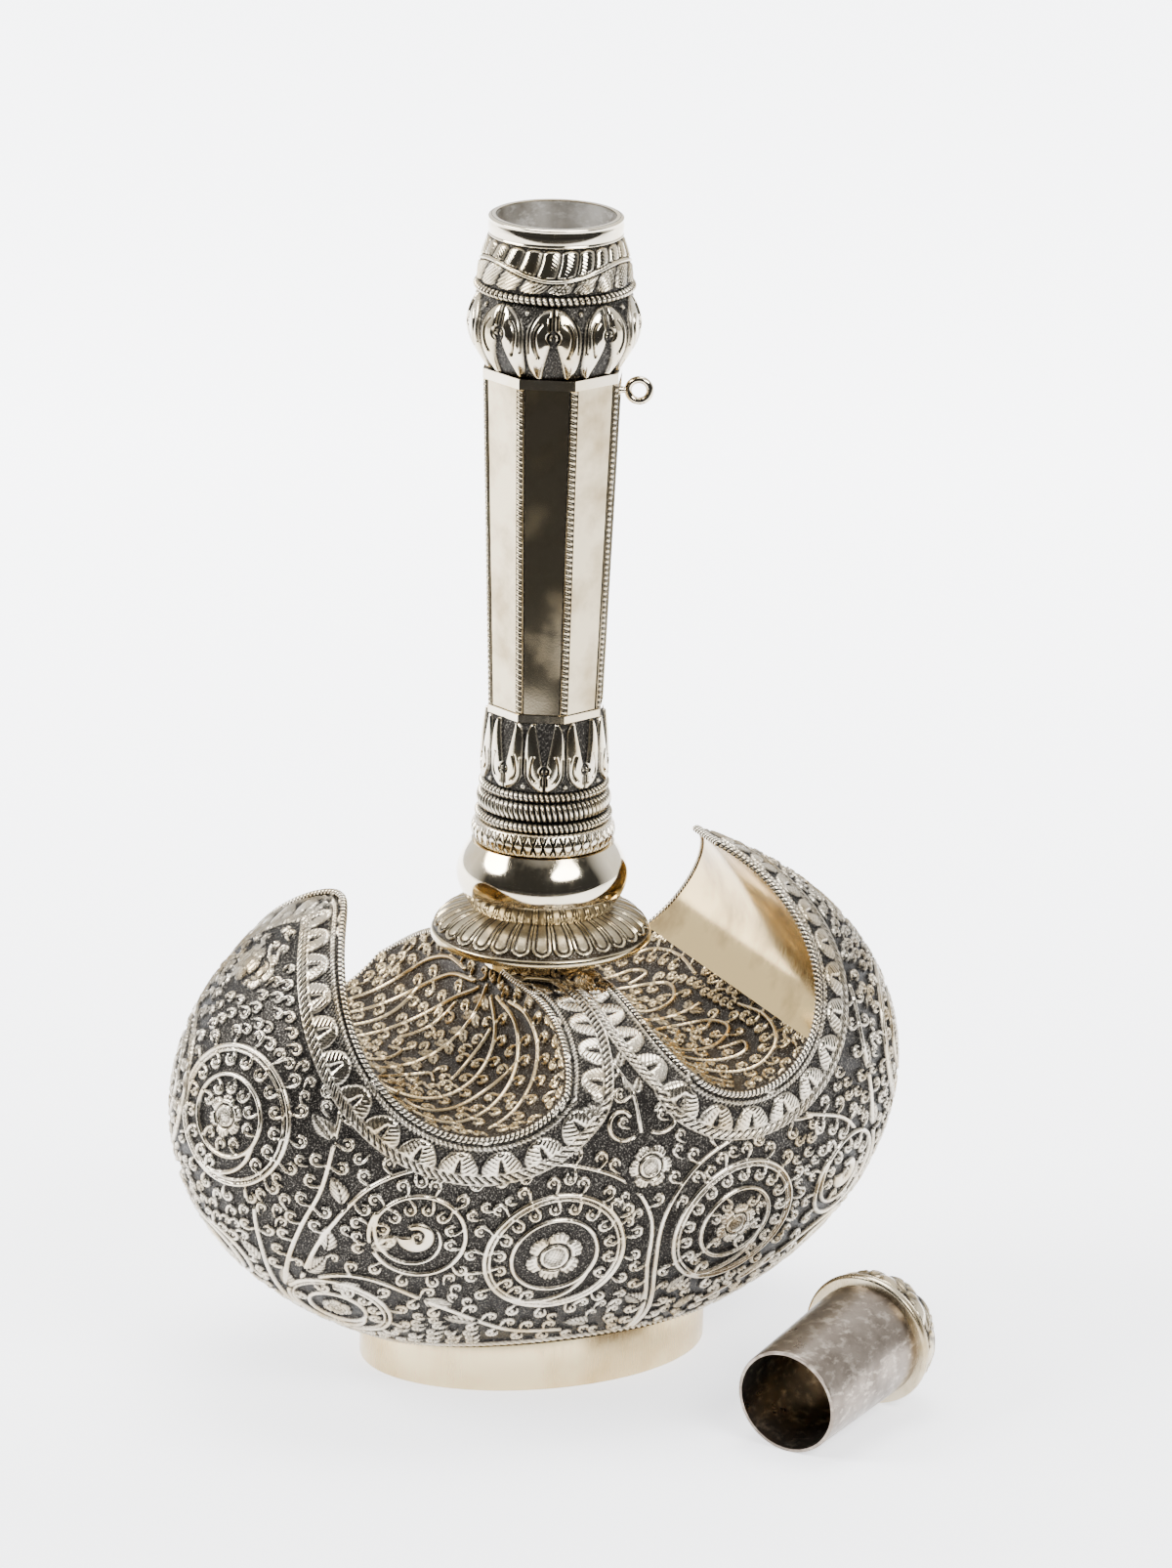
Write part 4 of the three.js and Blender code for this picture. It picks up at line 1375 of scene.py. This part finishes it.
class FLASK_OT_scoops(bpy.types.Operator):
    """Lines both scoops with chased floors, burnished walls and twisted rims."""

    bl_idname = "flask.scoops"
    bl_label = "Scoops"

    def execute(self, context):
        sheet = draw_floor_chasing()
        for name, scoop, tip in (("left", LEFT_SCOOP, LEFT_TIP), ("right", RIGHT_SCOOP, RIGHT_TIP)):
            edge = ridge_edge(scoop)
            meeting = 2 * math.pi + WALL_ANGLE
            floor = f"{name}_chased_floor", f"{name}_scoop_floor"
            wall = f"{name}_plain_wall", f"{name}_horn_wall"
            lining_sheet(*floor, scoop, edge, meeting, sheet, "chased_floor", 0.45)
            lining_sheet(*wall, scoop, meeting, 2 * math.pi + tip, None, "gilt_wall", 1.0)
            rim_rope(f"{name}_rim_rope", scoop, tip, RIM_ROPE, 1.3)
        return {"FINISHED"}


class FLASK_OT_foot(bpy.types.Operator):
    """Turns the plain oval foot with its softened edges."""

    bl_idname = "flask.foot"
    bl_label = "Foot"

    def execute(self, context):
        length, depth = foot_radii()
        wall = 1.8
        insets = np.array([0.5, 0.12, 0, 0, 0.12, 0.5, wall - 0.4, wall, wall, wall - 0.4, 0.5])
        levels = np.array([0, 0.12, 0.5, -0.5, -0.12, 0, 0, -0.3, 0.4, 0, 0])
        from_top = np.array([0, 0, 0, 1, 1, 1, 1, 1, 0, 0, 0])

        def place(u, v):
            k = np.round(v * (len(insets) - 1)).astype(int)
            angle = 2 * math.pi * u
            inset = insets[k]
            x = (length - inset) * np.cos(angle)
            y = (depth - inset) * np.sin(angle)
            inside = 1 - (x / BODY_LENGTH) ** 2 - (y / BODY_DEPTH) ** 2
            belly = EQUATOR - BODY_HEIGHT * np.sqrt(inside) - 0.3
            z = np.where(from_top[k] == 1, belly, 0) + levels[k]
            return np.stack([x, y, z], axis=-1), None

        closed_piece("oval_foot", 240, len(insets) - 1, place, "foot_gilt", ("foot_ring",))
        return {"FINISHED"}


class FLASK_OT_neck(bpy.types.Operator):
    """Turns the neck's bands and works their ropes, petals, palmettes and leaves."""

    bl_idname = "flask.neck"
    bl_label = "Neck"

    def execute(self, context):
        for name, node, slot, bulge, bores, relief, depth, columns in NECK_RINGS:
            revolved(name, node, slot, bulging(node, *bulge), bores, relief, depth, columns)
        make_flange(SHAFT_BORE)
        make_shaft()
        make_lip()
        make_loop()
        return {"FINISHED"}


def make_flange(bores):
    """The petalled flange: hub, petals and thin edge, with a flat underside."""
    low, high = node_levels("petal_flange")
    hub, shoulder, rim = (18.4, high), (26.7, low + 6.7), (28.2, low + 1.6)
    edge = [(28.0, low), (28.2, low + 0.25), (28.2, low + 1.35)]
    side = list(edge)
    steps = 48
    for k in range(steps + 1):
        t = 1 - k / steps
        a, b, c = (1 - t) ** 2, 2 * t * (1 - t), t * t
        side.append(tuple(a * p + b * q + c * r for p, q, r in zip(hub, shoulder, rim)))
    petals = petal_relief(30)

    def relief(angle, t, height):
        share = (t * (len(side) - 1) - len(edge)) / steps
        return np.where(share < 0, 1.0, petals(angle, np.clip(share, 0, 1), height))

    revolved("petal_skirt", "petal_flange", "petal_silver", side, bores, relief, 0.8, 600)


def make_shaft():
    """The octagonal shaft, with a laddered strip between two lines down each edge."""
    low, high = node_levels("neck_shaft")
    foot, head, bore = 14.9, 17.9, 12.0
    turn = LOOP_FLAT + math.pi / 8
    rung_end, strip, groove_end = 0.75, 1.0, 1.3
    offsets = (0, 0.3, 0.6, rung_end, 0.85, strip, 1.1, 1.2, groove_end, 1.4, 3.0)
    order = [
        (k, side, away)
        for k in range(8)
        for side in (-1, 1)
        for away in offsets[::side]
        if away or side > 0
    ]
    edges, sides, aways = (np.array(values, float) for values in zip(*order))
    rows = 400
    stations = rows + 3

    def place(u, v):
        k = np.round(v * stations).astype(int)
        j = np.round(u * len(order)).astype(int) % len(order)
        edge, side, away = edges[j], sides[j], aways[j]
        row = np.where(k > rows, np.where(k == rows + 1, rows, 0), k)
        t = row / rows
        z = low + (high - low) * t
        corner = foot + (head - foot) * t
        at_corner = turn + edge * math.pi / 4
        heading = at_corner + side * (math.pi / 2 + math.pi / 8)
        x = corner * np.cos(at_corner) + away * np.cos(heading)
        y = corner * np.sin(at_corner) + away * np.sin(heading)
        rung = np.abs(np.cos(math.pi * (z + 0.35 * side * away) / 1.4)) ** 0.8
        worked = np.where(away <= rung_end, rung, 1.0)
        worked = np.where((away > rung_end) & (away < strip), 0.35, worked)
        worked = np.where((away > strip) & (away < groove_end), 0.0, worked)
        lift = np.where(away <= strip, 0.35 * worked + 0.1, np.where(away < groove_end, -0.2, 0.0))
        lift = lift * step_between(from_edge(t) * (high - low), 0, 0.5)
        inner = (k > rows) & (k < stations)
        reach = np.hypot(x, y)
        scale = np.where(inner, bore / reach, 1 + lift / reach)
        return np.stack([x * scale, y * scale, z], axis=-1), np.where(inner, 1.0, worked)

    covers = ("neck_shaft",)
    closed_piece("octagonal_shaft", len(order), stations, place, "shaft_silver", covers, crisp=24)


def make_lip():
    """The plain band at the mouth, beaded at both edges, and the tarnished lining of the mouth."""
    low, high = node_levels("lip_band")
    side = []
    for t in np.arange(41) / 40:
        bead = 0.35 * hollow(t - 0.07, 0.06) + 0.3 * hollow(t - 0.9, 0.07)
        round_off = 0.5 * max(0, (t - 0.93) / 0.07) ** 2
        radius = 16.55 + 0.45 * math.sin(math.pi * t) + bead - round_off
        side.append((radius, low + (high - low) * t))
    side += [(16.2, high), (15.7, high), (15.35, high - 0.05)]
    revolved("mouth_lip", "lip_band", "polished_silver", side, (15.0, 15.15), columns=160)
    bottom = node_levels("upper_lotus_bulb")[0]
    top = high - 0.35

    def place(u, v):
        angle = -2 * math.pi * u
        height = bottom + (top - bottom) * v
        radius = 15.08 - 1.2 * (high - height) / 40
        return polar(radius, angle, height), None

    lining = closed_piece("mouth_lining", 128, 24, place, "worn_silver")
    lining.data.materials[0] = MATERIALS["mouth"]


def make_loop():
    """The wire ring for a chain and its short stem."""
    low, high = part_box("chain_loop")
    corners = frame["nodes"]["chain_loop"].data.vertices
    outer, wire = 3.7, 0.95
    middle = max(math.hypot(v.co.x, v.co.y - AXIS_Y) for v in corners) / MM - outer
    out = np.array([math.cos(LOOP_FLAT), math.sin(LOOP_FLAT), 0])
    up = np.array([0, 0, 1.0])
    side = np.cross(out, up)
    centre = (low.z + high.z) / 2 / MM * up

    def ring(u, v):
        around, turn = 2 * math.pi * u, 2 * math.pi * v
        away = outer - wire + wire * np.cos(turn)
        flat = np.outer(middle + away * np.cos(around), out) + np.outer(away * np.sin(around), up)
        return centre + flat + np.outer(wire * np.sin(turn), side), None

    stem_side = np.array(
        [(0, -5.0), (1.25, -5.0), (1.25, -4.7), (0.95, -4.4), (0.8, -3.6), (0.75, -2.9), (0, -2.9)]
    )

    def stem(u, v):
        turn = 2 * math.pi * u
        radius, away = stem_side[np.round(v * (len(stem_side) - 1)).astype(int)].T
        spot = centre + np.outer(middle + away, out)
        spot = spot + np.outer(radius * np.cos(turn), side)
        return spot + np.outer(radius * np.sin(turn), up), None

    closed_piece("loop_wire", 64, 20, ring, "polished_silver", ("chain_loop",))
    closed_piece("loop_stem", 32, len(stem_side) - 1, stem, "polished_silver", ("chain_loop",))


# The cap, in millimetres: where its mouth lies and which way it points, then its radii, lengths
# and walls
CAP_MOUTH = (27.0, -94.0)
CAP_HEADING = math.radians(33.8)
CAP_FOOT = 13.8
CAP_HEAD = 15.0
CAP_RIM = 17.7
CAP_SLEEVE = 40.0
CAP_BAND = 2.6
CAP_DOME = (16.9, 15.5, 1.2)
CAP_WALL = 0.9


def lay_cap(points):
    """Carries points from the cap's own axis to where it lies on the floor."""
    lean = math.atan((CAP_RIM - CAP_FOOT) / (CAP_SLEEVE + CAP_BAND / 2))
    turn = Matrix.Rotation(CAP_HEADING, 3, "Z") @ Matrix.Rotation(math.pi / 2 - lean, 3, "Y")
    place = np.array([CAP_MOUTH[0], CAP_MOUTH[1], CAP_FOOT * math.cos(lean)])
    return points @ np.array(turn).T + place


def whorl_relief(count):
    """Veined leaves that sweep round and up a dome to its top."""

    def relief(angle, t, _):
        along = angle * count / (2 * math.pi) + 1.15 * t
        place = from_middle(along)
        blade = ridge(place, 0.9)
        veins = 0.75 + 0.25 * np.cos(t * 60 - place * 9)
        spine = 1 - 0.5 * hollow(place, 0.1)
        second = from_middle(along + 0.5)
        lower = ridge(second, 0.55) * step_between(0.3 - t, 0, 0.2)
        knob = step_between(t, 0.93, 0.96)
        shape = np.maximum(blade * veins * spine * step_between(t, 0.02, 0.08), lower)
        return np.maximum(shape * (1 - knob), knob * 0.9)

    return relief


class FLASK_OT_cap(bpy.types.Operator):
    """Turns the plug cap: a worn sleeve, a plain rim and a chased dome."""

    bl_idname = "flask.cap"
    bl_label = "Plug cap"

    def execute(self, context):
        mouth = [(CAP_FOOT - 0.25, 0), (CAP_FOOT - 0.06, 0.08), (CAP_FOOT, 0.3)]
        rise = (CAP_HEAD - CAP_FOOT) / CAP_SLEEVE
        sleeve = mouth + [(CAP_FOOT + rise * h, h) for h in np.linspace(1, CAP_SLEEVE, 40)]
        bores = (CAP_FOOT - CAP_WALL, CAP_HEAD - CAP_WALL)
        on_cap = {"columns": 160, "body": "cap", "carry": lay_cap}
        revolved("worn_sleeve", "cap_sleeve", "worn_silver", sleeve, bores, **on_cap)
        band = []
        for t in np.arange(25) / 24:
            edge = 0.5 * (1 - min(1, min(t, 1 - t) / 0.16)) ** 2
            groove = 0.25 * hollow(t - 0.7, 0.05)
            radius = CAP_RIM - 0.4 + 0.4 * math.sin(math.pi * t) - edge - groove
            band.append((radius, CAP_SLEEVE + CAP_BAND * t))
        bores = (CAP_HEAD - CAP_WALL,) * 2
        revolved("plain_rim", "cap_rim_band", "cap_silver", band, bores, **on_cap)
        make_dome()
        return {"FINISHED"}


def make_dome():
    """The cap's dome, chased outside and hollow inside, closed at both poles."""
    base = CAP_SLEEVE + CAP_BAND
    radius, height, wall = CAP_DOME
    quarter = math.pi / 2

    def arc(reach, rise, angles):
        return [(reach * math.cos(a), base + rise * math.sin(a)) for a in angles]

    outer = arc(radius, height, np.linspace(0, quarter, 64))
    inner = arc(radius - wall, height - wall, np.linspace(quarter, 0, 12))
    stations = outer + inner + outer[:1]
    worked = whorl_relief(9)

    def place(u, v):
        k = np.round(v * (len(stations) - 1)).astype(int)
        angle = 2 * math.pi * u
        row = np.where(k == len(stations) - 1, 0, k)
        outside = row < len(outer)
        t = np.where(outside, row / (len(outer) - 1), 0)
        relief = np.where(outside, worked(angle, t, 0), 1)
        radii, heights = np.array(stations).T
        radii, heights = radii[row], heights[row]
        lift = np.where(outside, 0.9 * (relief - 0.65), 0) * step_between(1 - t, 0, 0.04)
        slope = np.arctan2(heights - base, radii)
        at_pole = outside & (row == len(outer) - 1)
        radii = np.clip(radii + lift * np.cos(slope), 0, None) * np.where(at_pole, 0, 1)
        heights = heights + lift * np.sin(slope)
        return lay_cap(polar(radii, angle, heights)), relief

    closed_piece("chased_dome", 400, len(stations) - 1, place, "cap_chased", ("cap_dome",), "cap")


# The photograph's camera, in millimetres and radians, and its frame in pixels
CAMERA_HEIGHT = 790.5
CAMERA_DISTANCE = 2012.0
CAMERA_PITCH = math.radians(17.62)
CAMERA_HEADING = math.radians(24.9)
CAMERA_ROLL = math.radians(1.25)
AHEAD = (math.sin(CAMERA_HEADING), math.cos(CAMERA_HEADING), 0.0)
FOCAL_PIXELS = 8500.0
PHOTO_SIZE = (1200, 1605)
AXIS_PIXEL = 557.0


def camera_side(across, ahead):
    """A place about the flask's axis by how far right of it and beyond it the camera sees it."""
    x = across * AHEAD[1] + ahead * AHEAD[0]
    y = ahead * AHEAD[1] - across * AHEAD[0]
    return x, y


class FLASK_OT_stage(bpy.types.Operator):
    """Sets the pale table with its painted glow and painted shade, the air, the soft boxes and the
    camera.
    """

    bl_idname = "flask.stage"
    bl_label = "Flask studio"

    def execute(self, context):
        place_floor(context)
        place_air(context)
        place_lights(context)
        place_camera(context)
        return {"FINISHED"}


# Half the table's width and length in metres, and how far beyond the flask it turns from dark
# painted shade to white
TABLE = (4.0, 5.0)
TABLE_FADE = (-0.46, -0.37)

# The table's painted glow (it is no lamp): from and to how far beyond the flask it rises, and its
# strengths there
TABLE_GLOW = (-0.1, 0.9, 1.3, 5.0)

# Strength of the air on the camera's side, and beyond the flask and overhead
AIR = (0.05, 1.6)

# Soft boxes: name, metres right of, beyond and above the flask, size in metres and power in watts
SOFT_BOXES = (
    ("left_box", (-1.2, -0.15, 0.95), (1.0, 0.6), 42),
    ("right_box", (0.75, -0.95, 1.05), (1.0, 0.5), 30),
    ("top_box", (0.0, 0.35, 1.7), (1.2, 0.8), 34),
)


def run_ahead(tree, vector):
    """How far a vector runs the way that the camera faces."""
    settings = {"operation": "DOT_PRODUCT", 1: AHEAD}
    return add_node(tree, "ShaderNodeVectorMath", settings, {0: vector}).outputs["Value"]


def place_floor(context):
    """A matt white table with a painted glow, and painted shade towards the viewer, in front of the
    picture.
    """

    def place(u, v):
        x, y = camera_side(TABLE[0] * (2 * u - 1), TABLE[1] * (2 * v - 1))
        return np.stack([x, y, 0 * u], axis=-1) / MM, None

    mesh = grid_mesh("studio_table", 2, 2, place)
    table = bpy.data.objects.new("studio_table", mesh)
    context.scene.collection.objects.link(table)
    material = bpy.data.materials.new("table_with_painted_glow_and_shade")
    material.use_nodes = True
    shader = material.node_tree.nodes["Principled BSDF"]
    shader.inputs["Roughness"].default_value = 0.6
    # Painted light: the table glows in this colour though it is no lamp
    shader.inputs["Emission Color"].default_value = hex_color("#f8faff")
    tree = material.node_tree
    depth = run_ahead(tree, add_node(tree, "ShaderNodeTexCoord").outputs["Object"])
    # Painted shade: this mask and the near-black colour below darken the table towards the viewer,
    # in front of the picture, so the metal reflects shade there
    front = ramp_between(tree, depth, *TABLE_FADE)
    tint = mix_colors(tree, front, "#101011", flask_settings().floor_color)
    tree.links.new(tint, shader.inputs["Base Color"])
    # Painted glow, rising beyond the flask, and none on the painted shade towards the viewer
    glow = ramp_between(tree, depth, *TABLE_GLOW)
    tree.links.new(combine(tree, "MULTIPLY", front, glow), shader.inputs["Emission Strength"])
    mesh.materials.append(material)


def place_air(context):
    """Light from all round: white overhead and beyond the flask, dark on the camera's side."""
    world = bpy.data.worlds.new("studio_air")
    world.use_nodes = True
    tree = world.node_tree
    direction = add_node(tree, "ShaderNodeTexCoord").outputs["Generated"]
    height = add_node(tree, "ShaderNodeSeparateXYZ", None, {0: direction}).outputs["Z"]
    beyond = ramp_between(tree, run_ahead(tree, direction), -0.15, 0.4, *AIR)
    above = ramp_between(tree, height, 0.72, 0.92, *AIR)
    background = tree.nodes["Background"]
    background.inputs["Color"].default_value = hex_color("#ffffff")
    brighter = combine(tree, "MAXIMUM", beyond, above)
    tree.links.new(brighter, background.inputs["Strength"])
    context.scene.world = world


def place_lights(context):
    """Soft boxes high on both sides, and a broad one overhead."""
    target = Vector((0, AXIS_Y, 0.13))
    for name, (across, ahead, height), size, power in SOFT_BOXES:
        light = bpy.data.lights.new(name, "AREA")
        light.shape = "ELLIPSE"
        light.size, light.size_y = size
        light.energy = power * flask_settings().light_power
        lamp = bpy.data.objects.new(name, light)
        context.scene.collection.objects.link(lamp)
        x, y = camera_side(across, ahead)
        lamp.location = (x, y + AXIS_Y, height)
        lamp.rotation_euler = (target - lamp.location).to_track_quat("-Z", "Y").to_euler()


def place_camera(context):
    """A long lens above and to the left of the front, rolled a little as the photograph is."""
    width, height = PHOTO_SIZE
    camera = bpy.data.cameras.new("camera")
    camera.sensor_fit = "VERTICAL"
    camera.sensor_height = 36
    camera.lens = FOCAL_PIXELS * camera.sensor_height / height
    camera.clip_end = 20
    camera.shift_x = (width / 2 - AXIS_PIXEL) / height
    item = bpy.data.objects.new("camera", camera)
    context.scene.collection.objects.link(item)
    level = math.cos(CAMERA_PITCH)
    forward = Vector((AHEAD[0] * level, AHEAD[1] * level, -math.sin(CAMERA_PITCH)))
    place = Vector((*camera_side(0, -CAMERA_DISTANCE), CAMERA_HEIGHT)) * MM
    place.y += AXIS_Y
    turn = forward.to_track_quat("-Z", "Y").to_matrix() @ Matrix.Rotation(CAMERA_ROLL, 3, "Z")
    item.matrix_world = Matrix.Translation(place) @ turn.to_4x4()
    context.scene.camera = item


class FLASK_PT_panel(bpy.types.Panel):
    """Lists the steps that build the flask's looks."""

    bl_idname = "FLASK_PT_panel"
    bl_label = "Flask"
    bl_space_type = "VIEW_3D"
    bl_region_type = "UI"
    bl_category = "Flask"

    def draw(self, context):
        settings = flask_settings()
        self.layout.prop(settings, "floor_color")
        self.layout.prop(settings, "light_power")
        for step in STEPS:
            self.layout.operator(step.bl_idname)


STEPS = (
    FLASK_OT_materials,
    FLASK_OT_stage,
    FLASK_OT_body,
    FLASK_OT_scoops,
    FLASK_OT_foot,
    FLASK_OT_neck,
    FLASK_OT_cap,
)
CLASSES = (FLASK_PG_settings, *STEPS, FLASK_PT_panel)


def register():
    for item in CLASSES:
        bpy.utils.register_class(item)
    bpy.types.Scene.flask_settings = PointerProperty(type=FLASK_PG_settings)


def unregister():
    del bpy.types.Scene.flask_settings
    for item in reversed(CLASSES):
        bpy.utils.unregister_class(item)


def main():
    register()
    for step in STEPS:
        group, name = step.bl_idname.split(".")
        getattr(getattr(bpy.ops, group), name)()


if __name__ == "__main__":
    main()
